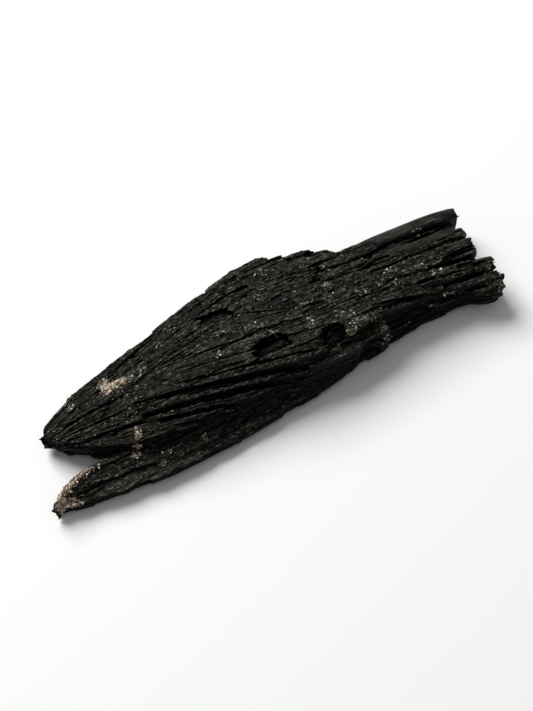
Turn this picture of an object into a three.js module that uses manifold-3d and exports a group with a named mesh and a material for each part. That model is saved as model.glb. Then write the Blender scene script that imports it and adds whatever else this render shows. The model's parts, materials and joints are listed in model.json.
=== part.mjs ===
// A black kyanite fan: one natural cluster of flat, lath-like crystals that start together at a narrow root
// and spread into a stepped, splintery fan. The crystals are grown together, so the fan is one solid.
// Millimetres, +Z up. The fan lies on its flatter back: X runs from the root to the fan's free end,
// Y across it, and the resting plane is Z = 0. The origin is the centre of the fan's box, at its base.
import * as THREE from "three";
import { mergeVertices } from "three/addons/utils/BufferGeometryUtils.js";
import Module from "manifold-3d";

const wasm = await Module();
wasm.setup();

// ---- Driving dimensions -------------------------------------------------------------------------------

const SEED = 15; // for the natural unevenness of the blades
const MIDDLE = 3.4; // height at which upper and lower blades meet
const OVERLAP = 0.9; // how far each of them reaches past that height
const STEP = 0.5; // spacing at which a blade's way is tested against the outline
const CORE = 0.3; // half the share of a blade's width that has to fit: the rest narrows to the outline
const INSET = 0.12; // how unevenly the blades' sides meet the outline
const PIECE = 7; // length of a blade's straight pieces
const LAYER_BLADES = 12; // blades side by side in the layer under the top ones, and again in the underside
const LAYER_DROP = 1; // how far that layer lies below the fan's top surface
const ROOT_START = -50; // the layers' blades are laid from here, short of the root, to past the free end,
const TIP_END = 51; // and each keeps the stretch that fits inside the outline
const LAYER_WIDTH = 3; // width of the upper layer's blades
const UNDER_WIDTH = 3.3; // width of the underside's blades
const SHORTEST = 3; // blades shorter than this are left out
const CROWN_POWER = 1.6; // how late the top surface falls off from the crest to the edges
const BOW = 0.25; // share of its width that a straight blade loses towards its ends
const HOLLOW_OPEN = 2; // how far above the top surface the slots that cut the hollows reach
const TRIM = { length: 120, width: 60, depth: 3 }; // block that trims the underside flat

// Plan outline of the fan, as [x, y]. Its far edge, from the root to the free end:
const FAR_EDGE = [
  [-44.8, 7], [-43.5, 8.8], [-40.3, 10.6], [-37.8, 11], [-37.4, 12.3], [-29.8, 12.9], [-21.6, 14.5],
  [-19, 15.4], [-13.6, 16.9], [-7.4, 18.4], [-3.7, 18.8], [-3, 19.6], [3.7, 20.7], [4.9, 20.4], [9.1, 20.4],
  [13.6, 18.2], [17.7, 17.1], [19.9, 15.6], [22.6, 15], [23.2, 12.6], [31.3, 12.6], [38, 12.3], [43.9, 12],
  [45.6, 11.4], [50.3, 10.2],
];
// Its near edge, from the root, past the notch beside the prong, to the free end:
const NEAR_EDGE = [
  [-44.8, 5.4], [-43.6, 4], [-43, 2.6], [-41.5, 1.2], [-38.8, -0.4], [-38.2, -1.9], [-31, -4.9],
  [-23, -6.5], [-15, -7.2], [-8, -7.9], [0, -9], [8, -9.2], [12.8, -9.3], [13.6, -9.1], [16.4, -9.2],
  [17, -8.9], [21.6, -9.4], [22.6, -8.8], [23.6, -6], [31, -6], [37, -7], [42, -9.4], [46, -11.3],
];
// Its broken free end, as [y, x], from the near edge to the far one:
const FREE_END = [
  [-11.5, 46], [-9.5, 49], [-6.5, 49.8], [-4.4, 49.6], [-3.4, 47.2], [-0.6, 48], [0.8, 47.6], [2.1, 48.7],
  [3.8, 48.6], [4.6, 46.6], [6.2, 46.4], [6.8, 49.6], [12, 50.3],
];
// The direction of growth: three crystal lines, the near, the middle and the far one, as [x, y].
const NEAR_LINE = [[-45, 2.5], [-30, -5], [-15, -7], [0, -9.3], [15, -11], [30, -12.5], [50, -15]];
const MIDDLE_LINE = [[-45, 4], [-30, 2.3], [-15, 2], [0, 1], [15, 0], [30, -1], [50, -4.2]];
const FAR_LINE = [[-45, 7.5], [-37, 10.7], [-30, 12.2], [-15, 16.3], [0, 20], [15, 19], [30, 15.5], [50, 14]];

// Heights along the fan, as [x, z]: its crest, its far edge and its near edge, and where the crest runs.
const CREST_HEIGHT = [[-45, 6.2], [-35, 8], [-20, 10.3], [0, 11.8], [20, 11.3], [35, 10], [50, 8.2]];
const CREST_LINE = [[-45, 4.5], [-30, 2.5], [-5, -1.5], [12, -4], [30, -3.5], [50, -4]];
const FAR_HEIGHT = [[-45, 5], [-30, 5.8], [0, 6.8], [25, 7.6], [50, 7.6]];
const NEAR_HEIGHT = [[-45, 5], [-38, 6.4], [-23, 7], [0, 6.2], [10, 5.4], [22, 5.2], [26, 7], [50, 6.6]];
// The underside: flat under the middle, rising by this much at the edges and at the two ends.
const EDGE_RISE = 2.2;
const END_RISE = 1.8;
const FLAT_LENGTH = 34; // half the length over which the underside stays down

// The prong below the notch, and the shelf that carries on from it, as blades [x, y, top] to [x, y, top].
const PRONG_BLADES = [
  { from: [-49.2, -7.2, 3.4], to: [7.6, -10, 3], width: 2, base: 0.6 },
  { from: [-48.8, -6.2, 4.4], to: [10.5, -8.9, 3.6], width: 2.2, base: 0.4 },
  { from: [-47.1, -5.3, 4.8], to: [-4, -7.4, 5], width: 2.2, base: 0.4 },
  { from: [-43.6, -4.3, 5], to: [-12, -5.4, 5.4], width: 2, base: 0.4 },
  { from: [-42.6, -8.9, 3.6], to: [-11, -10.6, 3.2], width: 1.7, base: 0.5 },
  { from: [-34, -10.3, 2.6], to: [-13.5, -11, 2.4], width: 1.5, base: 0.5 },
  { from: [-26, -11.2, 2.2], to: [-2.6, -10.4, 2.2], width: 1.6, base: 0.4 },
];
// The low shelf under the near edge, towards the free end.
const SHELF_BLADES = [
  { from: [12, -7.8, 3.6], to: [24, -7.4, 3], width: 2.4, base: 0.5 },
  { from: [21, -6.3, 3.2], to: [45, -8.2, 3.2], width: 2, base: 0.6 },
  { from: [18, -5, 4.4], to: [43, -6.2, 4.2], width: 2.4, base: 0.6 },
];
// Places where blades have broken out of the top, as [x, y] to [x, y]: each leaves a steep-sided hollow.
const HOLLOWS = [
  { from: [-9.6, 11], to: [-3.4, 11.6], width: 2.6, depth: 1.8 },
  { from: [0.4, 0.6], to: [6.6, 1], width: 2.2, depth: 2.2 },
  { from: [13, -2.2], to: [19.2, -2.6], width: 2.8, depth: 3 },
  { from: [25.4, 7], to: [30, 6.9], width: 1.4, depth: 1.6 },
  { from: [-4.5, -3.4], to: [-1.6, -3.4], width: 1.6, depth: 1.6 },
];

// Blades of the upper layer: how far across the fan they lie (0 near, 1 far), where they start and end
// along it, their width and how much they stand above the layer beneath.
const TOP_BLADES = [
  { across: 0.97, from: -37.4, to: -20, width: 2, lift: 0.9 },
  { across: 0.95, from: -22, to: -3.4, width: 2.2, lift: 1 },
  { across: 0.94, from: -8, to: 4.6, width: 2.2, lift: 0.9 },
  { across: 0.98, from: 2, to: 13, width: 2, lift: 0.7 },
  { across: 0.9, from: -2, to: 14, width: 2.2, lift: 1 },
  { across: 0.86, from: 4, to: 23.2, width: 2.2, lift: 1.1 },
  { across: 0.8, from: -30, to: -4, width: 2, lift: 1.1 },
  { across: 0.84, from: 22.5, to: 50.3, width: 3, lift: 1.2 },
  { across: 0.76, from: 20, to: 46.4, width: 2.4, lift: 0.6 },
  { across: 0.74, from: -14, to: 12, width: 2.4, lift: 0.8 },
  { across: 0.7, from: -38, to: -10, width: 2, lift: 1 },
  { across: 0.68, from: 8, to: 47, width: 2.2, lift: 0.7 },
  { across: 0.64, from: -12, to: 26, width: 2.2, lift: 1.1 },
  { across: 0.58, from: -40, to: 2, width: 2.2, lift: 0.9 },
  { across: 0.56, from: 16, to: 48, width: 2, lift: 1.2 },
  { across: 0.5, from: -43, to: -6, width: 2.2, lift: 1 },
  { across: 0.48, from: -4, to: 34, width: 2.4, lift: 0.9 },
  { across: 0.42, from: -44.5, to: 0, width: 2, lift: 0.9 },
  { across: 0.41, from: 8, to: 48, width: 2.2, lift: 1 },
  { across: 0.34, from: -43, to: 13, width: 2.2, lift: 1.1 },
  { across: 0.33, from: 19, to: 49.6, width: 2.2, lift: 0.9 },
  { across: 0.26, from: -41, to: 20, width: 2.2, lift: 0.7 },
  { across: 0.25, from: 25, to: 49.5, width: 2, lift: 1.1 },
  { across: 0.18, from: -38, to: 22.4, width: 2, lift: 0.8 },
  { across: 0.16, from: 36, to: 49, width: 1.8, lift: 0.8 },
  { across: 0.1, from: -36, to: 16.2, width: 2, lift: 0.9 },
  { across: 0.04, from: -30, to: 13, width: 1.8, lift: 0.9 },
];

// ---- Shape of the fan ---------------------------------------------------------------------------------

// Value at x on a broken line of [x, value] points, level beyond its ends.
function along(line, x) {
  if (x <= line[0][0]) return line[0][1];
  for (let i = 1; i < line.length; i++) {
    const [x0, v0] = line[i - 1];
    const [x1, v1] = line[i];
    if (x <= x1) return v0 + ((v1 - v0) * (x - x0)) / (x1 - x0);
  }
  return line[line.length - 1][1];
}

// A repeatable uneven number between -1 and 1.
const uneven = (n) => 2 * THREE.MathUtils.seededRandom(SEED + n * 101) - 1;

// Where the crystal line at this share across the fan runs, at x.
function lineY(x, across) {
  const middle = along(MIDDLE_LINE, x);
  return across < 0.5
    ? THREE.MathUtils.lerp(along(NEAR_LINE, x), middle, across * 2)
    : THREE.MathUtils.lerp(middle, along(FAR_LINE, x), across * 2 - 1);
}

// The fan's top surface: highest on the crest, falling in a soft curve to either edge.
function topHeight(x, y) {
  const crestY = along(CREST_LINE, x);
  const crest = along(CREST_HEIGHT, x);
  const far = y > crestY;
  const edgeY = far ? along(FAR_EDGE, x) : along(NEAR_EDGE, x);
  const edge = along(far ? FAR_HEIGHT : NEAR_HEIGHT, x);
  const share = THREE.MathUtils.clamp((y - crestY) / (edgeY - crestY || 1), 0, 1);
  return crest - (crest - edge) * share ** CROWN_POWER;
}

// The underside: down on the resting plane under the middle, up towards edges and ends.
function baseHeight(x, y) {
  const middle = (along(FAR_EDGE, x) + along(NEAR_EDGE, x)) / 2;
  const half = (along(FAR_EDGE, x) - along(NEAR_EDGE, x)) / 2 || 1;
  const side = THREE.MathUtils.clamp(Math.abs(y - middle) / half, 0, 1);
  const end = THREE.MathUtils.clamp((Math.abs(x) - FLAT_LENGTH) / (50 - FLAT_LENGTH), 0, 1);
  return EDGE_RISE * side ** 3 + END_RISE * end ** 1.5;
}

const inside = (x, y) => y < along(FAR_EDGE, x) && y > along(NEAR_EDGE, x) && x < along(FREE_END, y);

// The longest stretch of a crystal line, within from and to, on which a blade's core stays inside.
function stretch(across, from, to, width) {
  let best = [0, 0];
  let start = null;
  for (let x = from; x <= to + STEP; x += STEP) {
    const y = lineY(x, across);
    const fits = x <= to && inside(x, y + CORE * width) && inside(x, y - CORE * width);
    if (fits && start === null) start = x;
    if (!fits && start !== null) {
      if (x - STEP - start > best[1] - best[0]) best = [start, x - STEP];
      start = null;
    }
  }
  return best;
}

// ---- Blades -------------------------------------------------------------------------------------------

// A closed mesh as a solid that can be joined and cut.
function solidOf(geometry) {
  geometry.deleteAttribute("normal");
  geometry.deleteAttribute("uv");
  const merged = mergeVertices(geometry, 1e-4);
  return new wasm.Manifold(
    new wasm.Mesh({
      numProp: 3,
      vertProperties: merged.attributes.position.array,
      triVerts: new Uint32Array(merged.index.array),
    }),
  );
}

// A lath: a box of unit size, cut into lengths, whose corners are put where place(along, side, up) says.
function lath(pieces, place) {
  const box = new THREE.BoxGeometry(1, 1, 1, pieces, 1, 1);
  const position = box.attributes.position;
  const point = new THREE.Vector3();
  for (let i = 0; i < position.count; i++) {
    point.fromBufferAttribute(position, i);
    position.setXYZ(i, ...place(point.x + 0.5, point.y, point.z > 0));
  }
  return solidOf(box);
}

// A blade that follows its crystal line, between the heights that bottom(x, y) and top(x, y) give.
function growingBlade({ across, from, to, width, tilt = 0, inset = 0 }, bottom, top) {
  const [start, end] = stretch(across, from, to, width);
  if (end - start < SHORTEST) return null;
  const pieces = Math.max(2, Math.round((end - start) / PIECE));
  return lath(pieces, (share, side, up) => {
    const x = start + (end - start) * share;
    const y = lineY(x, across);
    const slant = side * tilt;
    const nearest = along(NEAR_EDGE, x) + inset;
    const farthest = along(FAR_EDGE, x) - inset;
    const edge = THREE.MathUtils.clamp(y + side * width, nearest, farthest);
    return [x + (up ? slant : 0), edge, up ? top(x, y) + slant : bottom(x, y)];
  });
}

// A straight blade between two points of the plan, each with the height of its top.
function straightBlade({ from, to, width, base }) {
  return lath(2, (share, side, up) => {
    const bow = 1 - BOW * (2 * share - 1) ** 2;
    return [
      THREE.MathUtils.lerp(from[0], to[0], share),
      THREE.MathUtils.lerp(from[1], to[1], share) + side * width * bow,
      up ? THREE.MathUtils.lerp(from[2], to[2], share) : base,
    ];
  });
}

const middleUp = () => MIDDLE + OVERLAP;
const middleDown = () => MIDDLE - OVERLAP;

// The layer of blades side by side that closes the fan's top, a step below the highest blades.
function topLayer() {
  return Array.from({ length: LAYER_BLADES }, (_, i) => {
    const drop = LAYER_DROP + 0.3 * uneven(i);
    const blade = {
      across: (i + 0.5) / LAYER_BLADES,
      from: ROOT_START,
      to: TIP_END,
      width: LAYER_WIDTH,
      tilt: 0.15 * uneven(i + 20),
      inset: INSET * (1 + uneven(i + 10)),
    };
    return growingBlade(blade, middleDown, (x, y) => topHeight(x, y) - drop);
  });
}

// The same for the underside. Some of its blades stand on the resting plane, where all are trimmed flat.
function underLayer() {
  return Array.from({ length: LAYER_BLADES }, (_, i) => {
    const rise = 0.35 * uneven(i + 40);
    const blade = {
      across: (i + 0.5 + 0.25 * uneven(i + 50)) / LAYER_BLADES,
      from: ROOT_START + 0.4 * uneven(i + 70),
      to: TIP_END,
      width: UNDER_WIDTH,
      inset: INSET * (4 + uneven(i + 30)),
    };
    return growingBlade(blade, (x, y) => baseHeight(x, y) + rise, middleUp);
  });
}

// The blades that stand above the top layer.
function topBlades() {
  return TOP_BLADES.map((shape, i) => {
    const blade = { ...shape, tilt: 0.25 * uneven(i + 60), inset: INSET * (1 + uneven(i + 90)) };
    return growingBlade(blade, middleDown, (x, y) => topHeight(x, y) - LAYER_DROP + shape.lift);
  });
}

// What a broken-out blade leaves: a straight slot, open above.
function hollow({ from, to, width, depth }) {
  return lath(1, (share, side, up) => {
    const x = THREE.MathUtils.lerp(from[0], to[0], share);
    const y = THREE.MathUtils.lerp(from[1], to[1], share);
    return [x, y + side * width, topHeight(x, y) + (up ? HOLLOW_OPEN : -depth)];
  });
}

function fanSolid() {
  const blades = [
    ...topLayer(),
    ...underLayer(),
    ...topBlades(),
    ...PRONG_BLADES.map(straightBlade),
    ...SHELF_BLADES.map(straightBlade),
  ].filter(Boolean);
  const cutters = HOLLOWS.map(hollow);
  const block = new THREE.BoxGeometry(TRIM.length, TRIM.width, TRIM.depth);
  block.translate(0, 0, -TRIM.depth / 2);
  return wasm.Manifold.union(blades).subtract(wasm.Manifold.union([...cutters, solidOf(block)]));
}

// The solid as a flat-shaded mesh geometry, moved so that its box stands centred on the origin.
function geometryOf(solid) {
  const mesh = solid.getMesh();
  const geometry = new THREE.BufferGeometry();
  geometry.setAttribute("position", new THREE.BufferAttribute(mesh.vertProperties, mesh.numProp));
  geometry.setIndex(new THREE.BufferAttribute(mesh.triVerts, 1));
  geometry.computeBoundingBox();
  const { min, max } = geometry.boundingBox;
  geometry.translate(-(min.x + max.x) / 2, -(min.y + max.y) / 2, -min.z);
  geometry.computeVertexNormals();
  return geometry;
}

const kyanite = new THREE.MeshStandardMaterial({
  color: 0x23241f,
  roughness: 0.6,
  metalness: 0,
  flatShading: true,
});
const fan = new THREE.Mesh(geometryOf(fanSolid()), kyanite);
fan.name = "kyanite_fan";

const part = new THREE.Group();
part.add(fan);

export default part;
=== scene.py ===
# %% [markdown]
# # A black kyanite fan
#
# Black kyanite grows as flat, lath-shaped crystals. They start together at a narrow root and spread into a
# fan, each blade a little higher, lower, longer or shorter than the one beside it. Breaking the fan out of
# its rock leaves stepped ends, splinters, open cracks and a dusting of pale mica. This lesson builds one
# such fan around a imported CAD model, which fixes its size and its place.

# %% The fixed frame
import json
import math

import bmesh
import bpy
import numpy as np
from mathutils import Matrix, Vector
from mathutils.bvhtree import BVHTree

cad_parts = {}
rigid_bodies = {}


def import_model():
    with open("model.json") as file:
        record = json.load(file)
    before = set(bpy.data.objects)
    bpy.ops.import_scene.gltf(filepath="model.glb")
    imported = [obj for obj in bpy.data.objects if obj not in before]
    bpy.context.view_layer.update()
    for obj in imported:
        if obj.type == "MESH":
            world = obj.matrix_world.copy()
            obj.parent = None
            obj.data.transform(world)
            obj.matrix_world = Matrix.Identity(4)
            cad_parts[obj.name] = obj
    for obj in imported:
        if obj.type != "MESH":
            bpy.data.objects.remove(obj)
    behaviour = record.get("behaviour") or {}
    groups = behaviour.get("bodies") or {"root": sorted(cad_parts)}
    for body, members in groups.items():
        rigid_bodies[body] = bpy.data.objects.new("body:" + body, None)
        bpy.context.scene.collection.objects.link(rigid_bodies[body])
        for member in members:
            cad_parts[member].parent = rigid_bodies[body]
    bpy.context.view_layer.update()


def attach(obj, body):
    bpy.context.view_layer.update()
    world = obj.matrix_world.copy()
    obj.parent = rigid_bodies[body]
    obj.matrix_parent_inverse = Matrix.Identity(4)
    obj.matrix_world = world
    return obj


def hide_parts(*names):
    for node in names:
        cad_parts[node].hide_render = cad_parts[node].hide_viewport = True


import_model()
MM = 0.001

# %% [markdown]
# ## The drawing
#
# The fan is drawn once, in millimetres, with X along it from the root to the free end, Y across it and Z
# up. The outline has a far edge, a near edge and a broken free end. Three crystal lines give the direction
# of growth. The crest, the two edges and the underside give the heights. The CAD part was made from the
# same drawing, so the visible fan and the solid that it stands for agree.

# %% Outline, crystal lines and heights, in millimetres
FAR_EDGE = [
    (-44.8, 7), (-43.5, 9.1), (-40.3, 11), (-37.8, 11.5), (-37.4, 12.7), (-29.8, 13.5), (-21.6, 15),
    (-19, 15.5), (-13.6, 16.8), (-7.4, 18.1), (-3.7, 18.5), (-3, 19.3), (3.7, 20.4), (4.9, 20.2),
    (9.1, 20.1), (13.6, 18.1), (17.7, 16.8), (19.9, 15.5), (22.6, 14.7), (23.2, 12.8), (31.3, 12.8),
    (38, 12.5), (43.9, 12), (45.6, 11.4), (50.3, 10.2),
]
NEAR_EDGE = [
    (-44.8, 5.4), (-43.6, 4), (-43, 2.6), (-41.5, 1.2), (-38.8, -0.4), (-38.2, -1.9), (-31, -4.9),
    (-23, -6.5), (-15, -7.2), (-8, -7.9), (0, -9), (8, -9.2), (12.8, -9.3), (13.6, -9.1), (16.4, -9.2),
    (17, -8.9), (21.6, -9.4), (22.6, -8.8), (23.6, -6), (31, -6), (37, -7), (42, -9.4), (46, -11.3),
]
FREE_END = [
    (-11.5, 46), (-9.5, 49), (-6.5, 49.8), (-4.4, 49.6), (-3.4, 47.2), (-0.6, 48), (0.8, 47.6),
    (2.1, 48.7), (3.8, 48.4), (4.6, 46.6), (7, 46), (7.6, 49.4), (12, 50),
]
NEAR_LINE = [(-45, 2.5), (-30, -5), (-15, -7), (0, -9.3), (15, -11), (30, -12.5), (50, -15)]
MIDDLE_LINE = [(-45, 4), (-30, 2.3), (-15, 2), (0, 1), (15, 0), (30, -1), (50, -4.2)]
FAR_LINE = [(-45, 7.5), (-37, 10.7), (-30, 12.2), (-15, 16.3), (0, 20), (15, 19), (30, 15.5), (50, 14)]
CREST_HEIGHT = [(-45, 6.2), (-35, 8), (-20, 10.3), (0, 11.8), (20, 11.3), (35, 10), (50, 8.2)]
CREST_LINE = [(-45, 4.5), (-30, 2.5), (-5, -1.5), (12, -4), (30, -3.5), (50, -4)]
FAR_HEIGHT = [(-45, 5), (-30, 5.8), (0, 6.8), (25, 7.6), (50, 7.6)]
NEAR_HEIGHT = [(-45, 5), (-38, 6.4), (-23, 7), (0, 6.2), (10, 5.4), (22, 5.2), (26, 7), (50, 6.6)]
EDGE_RISE = 2.2  # how far the underside rises towards the edges, in mm
END_RISE = 1.8  # and towards the ends
FLAT_LENGTH = 34  # mm to either side of the middle along which the underside lies level
HALF_LENGTH = 50
MIDDLE = 3.4  # height at which upper and lower blades meet
DRAWING_MIDDLE = (0.155, 4.153)  # where the middle of the fan's box lies in this drawing


def along(line, x):
    """Value at x on a broken line, level beyond its ends."""
    return np.interp(x, [p[0] for p in line], [p[1] for p in line])


def line_y(x, across):
    """Where the crystal line at this share across the fan runs, at x."""
    near, middle, far = along(NEAR_LINE, x), along(MIDDLE_LINE, x), along(FAR_LINE, x)
    on_near_half = near + (middle - near) * across * 2
    on_far_half = middle + (far - middle) * (across * 2 - 1)
    return np.where(across < 0.5, on_near_half, on_far_half)


def top_height(x, y):
    """The fan's upper surface: highest on the crest, falling in a soft curve to either edge."""
    crest_y, crest = along(CREST_LINE, x), along(CREST_HEIGHT, x)
    far = y > crest_y
    edge_y = np.where(far, along(FAR_EDGE, x), along(NEAR_EDGE, x))
    edge = np.where(far, along(FAR_HEIGHT, x), along(NEAR_HEIGHT, x))
    share = np.clip((y - crest_y) / (edge_y - crest_y), 0, 1)
    return crest - (crest - edge) * share**1.6


def base_height(x, y):
    """The underside: down on the resting plane under the middle, up towards the edges and the ends."""
    middle = (along(FAR_EDGE, x) + along(NEAR_EDGE, x)) / 2
    half = (along(FAR_EDGE, x) - along(NEAR_EDGE, x)) / 2
    side = np.clip(abs(y - middle) / half, 0, 1)
    end = np.clip((abs(x) - FLAT_LENGTH) / (HALF_LENGTH - FLAT_LENGTH), 0, 1)
    return EDGE_RISE * side**3 + END_RISE * end**1.5


END_MARGIN = 0.7  # mm kept free at the free end, because splinters stick out of every blade's end
AT_FREE_END = 47  # a blade that is to run past this x ends at the free end


def stretch(across, start, end, core, step=0.5):
    """The longest run of a crystal line, from start to end, that stays inside the outline."""
    x = np.arange(start, end, step)
    y = line_y(x, across)
    fits = (y + core < along(FAR_EDGE, x)) & (y - core > along(NEAR_EDGE, x)) & (x < along(FREE_END, y))
    best, run = (0, 0), None
    for i, fit in enumerate([*fits, False]):
        if fit and run is None:
            run = i
        if not fit and run is not None:
            best, run = max(best, (i - run, run)), None
    count, first = best
    last = first + max(count, 1) - 1
    return start + first * step, start + last * step - END_MARGIN * (end > AT_FREE_END)


print("the outline has", len(FAR_EDGE) + len(NEAR_EDGE) + len(FREE_END), "points, and the crest is",
      max(height for _, height in CREST_HEIGHT), "mm high")

# %% [markdown]
# ## One blade
#
# A kyanite blade is a long flat lath with fine ridges along it, sides that split into leaves and ends that
# break off splintered. It could be one stretched box with a bump map, but then its outline would stay
# straight. Here a bmesh cube is cut into even pieces once, as a blank, and every blade is that blank moved
# onto its crystal line: columns give the ridges, upright levels give the leaves, and each column ends
# where it likes. Blanks are shared by blades with the same number of cuts. The random numbers all come
# from one seeded generator, so the fan is the same each time.

# %% Blanks
rng = np.random.default_rng(11)
blanks = {}


def blank(lengthwise, crosswise, upright):
    """A unit cube cut into that many pieces along X, Y and Z."""
    key = (lengthwise, crosswise, upright)
    if key not in blanks:
        bm = bmesh.new()
        bmesh.ops.create_cube(bm, size=1.0)
        for axis, pieces in enumerate(key):
            edges = [e for e in bm.edges if abs(e.verts[0].co[axis] - e.verts[1].co[axis]) > 0.5]
            bmesh.ops.subdivide_edges(bm, edges=edges, cuts=pieces - 1, use_grid_fill=True)
        mesh = bpy.data.meshes.new("blade_blank")
        bm.to_mesh(mesh)
        bm.free()
        blanks[key] = (mesh, np.array([v.co for v in mesh.vertices]) + 0.5)
    return blanks[key]


print("a blank of 4 x 3 x 2 pieces has", len(blank(4, 3, 2)[1]), "points")

# %% [markdown]
# ## Splinters
#
# Seen close up, a blade's face is a bundle of strips, each broken off at several places. So the heights on
# a blade are random steps: a strip is two to eight columns wide and steps up or down every few
# millimetres, and a narrow groove often parts it from the next strip. A noise texture would give soft
# hills instead.

# %% Splintered surfaces
NARROW_STRIP, WIDE_STRIP = 2, 8  # columns
GROOVED = 0.45  # the share of strips with a deep groove beside them


def splinters(lengthwise, crosswise, pitch, size, grit):
    """Heights for a grid of points, as if strips a few columns wide had each broken off at several places.

    size is how much the strips differ in height, and grit how rough each point is by itself.
    """
    heights = np.zeros((lengthwise + 1, crosswise + 1))
    jags = np.zeros((2, crosswise + 1))
    column = 0
    while column <= crosswise:
        wide = int(rng.integers(NARROW_STRIP, WIDE_STRIP + 1))
        strip = slice(column, column + wide)
        breaks = np.cumsum(rng.uniform(1, 7, int(lengthwise * pitch) + 3)) - 4
        which = np.searchsorted(breaks, np.arange(lengthwise + 1) * pitch)
        level = rng.normal(0, size, len(breaks) + 1)
        slope = rng.normal(0, size / 6, len(breaks) + 1)
        since = np.arange(lengthwise + 1) * pitch - np.concatenate([[-4], breaks])[which]
        heights[:, strip] += (level[which] + slope[which] * since)[:, None]
        grooved = rng.uniform() < GROOVED
        heights[:, column] -= size * (rng.uniform(1.2, 2.6) if grooved else rng.uniform(0, 0.5))
        jags[:, strip] = rng.normal(0, 1, (2, 1))
        column += wide
    rough = rng.normal(0, 1, (lengthwise + 3, crosswise + 1))
    return heights + grit * (rough[:-2] + rough[1:-1] + rough[2:]) / 2 + grit * rough[1:-1], jags


print("strips are", NARROW_STRIP, "to", WIDE_STRIP, "columns wide")

# %% [markdown]
# ## Torn edges
#
# The outline was drawn with few points. A real edge has many small steps where single blades have snapped,
# so each edge gets random bites, every 1 to 6 mm, most of them shallow.

# %% Torn edges
def torn(edge, inward, deepest):
    """The same edge with bites out of it: every few millimetres it steps in by up to deepest."""
    x = np.arange(edge[0][0], edge[-1][0] + 0.3, 0.3)
    breaks = edge[0][0] + np.cumsum(rng.uniform(1.2, 6, 90))
    bites = deepest * rng.uniform(0, 1, 91) ** 2
    return list(zip(x, along(edge, x) + inward * bites[np.searchsorted(breaks, x)]))


EDGES = (torn(NEAR_EDGE, 1, 0.8), torn(FAR_EDGE, -1, 0.8))
print("the torn edges have", len(EDGES[0]) + len(EDGES[1]), "points")

# %% [markdown]
# ## From blank to blade
#
# One function shapes every blade in the fan. It moves the points of a blank onto a line that the blade
# follows, between an upper and a lower height, and then breaks its ends, splits its sides into leaves and
# lays the splinters on its face.

# %% Shaping a blade
blades = bpy.data.collections.new("blades")  # the blades made from here on go into this collection
FAR_MARGIN = 0.1  # mm kept free at the far edge, where level blades stand higher than the surface
SOFT_TOP = 11.4  # mm: above this height, what stands up is squashed, so that nothing stands out of the box
SQUASH = 0.4
BROKEN_SHARE = 0.07  # the most of a blade's length that a splinter at its end may take up
END_CURVE = 8  # the higher it is, the nearer to its ends a blade's splinters stay
END_FALL = 0.9  # mm over which a blade's end sinks


def finish_blade(mesh, points):
    """Puts a copy of the blank at these points, and keeps it with the other blades."""
    mesh = mesh.copy()
    mesh.vertices.foreach_set("co", points.astype(np.float32).ravel())
    blades.objects.link(bpy.data.objects.new("blade", mesh))


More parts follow.
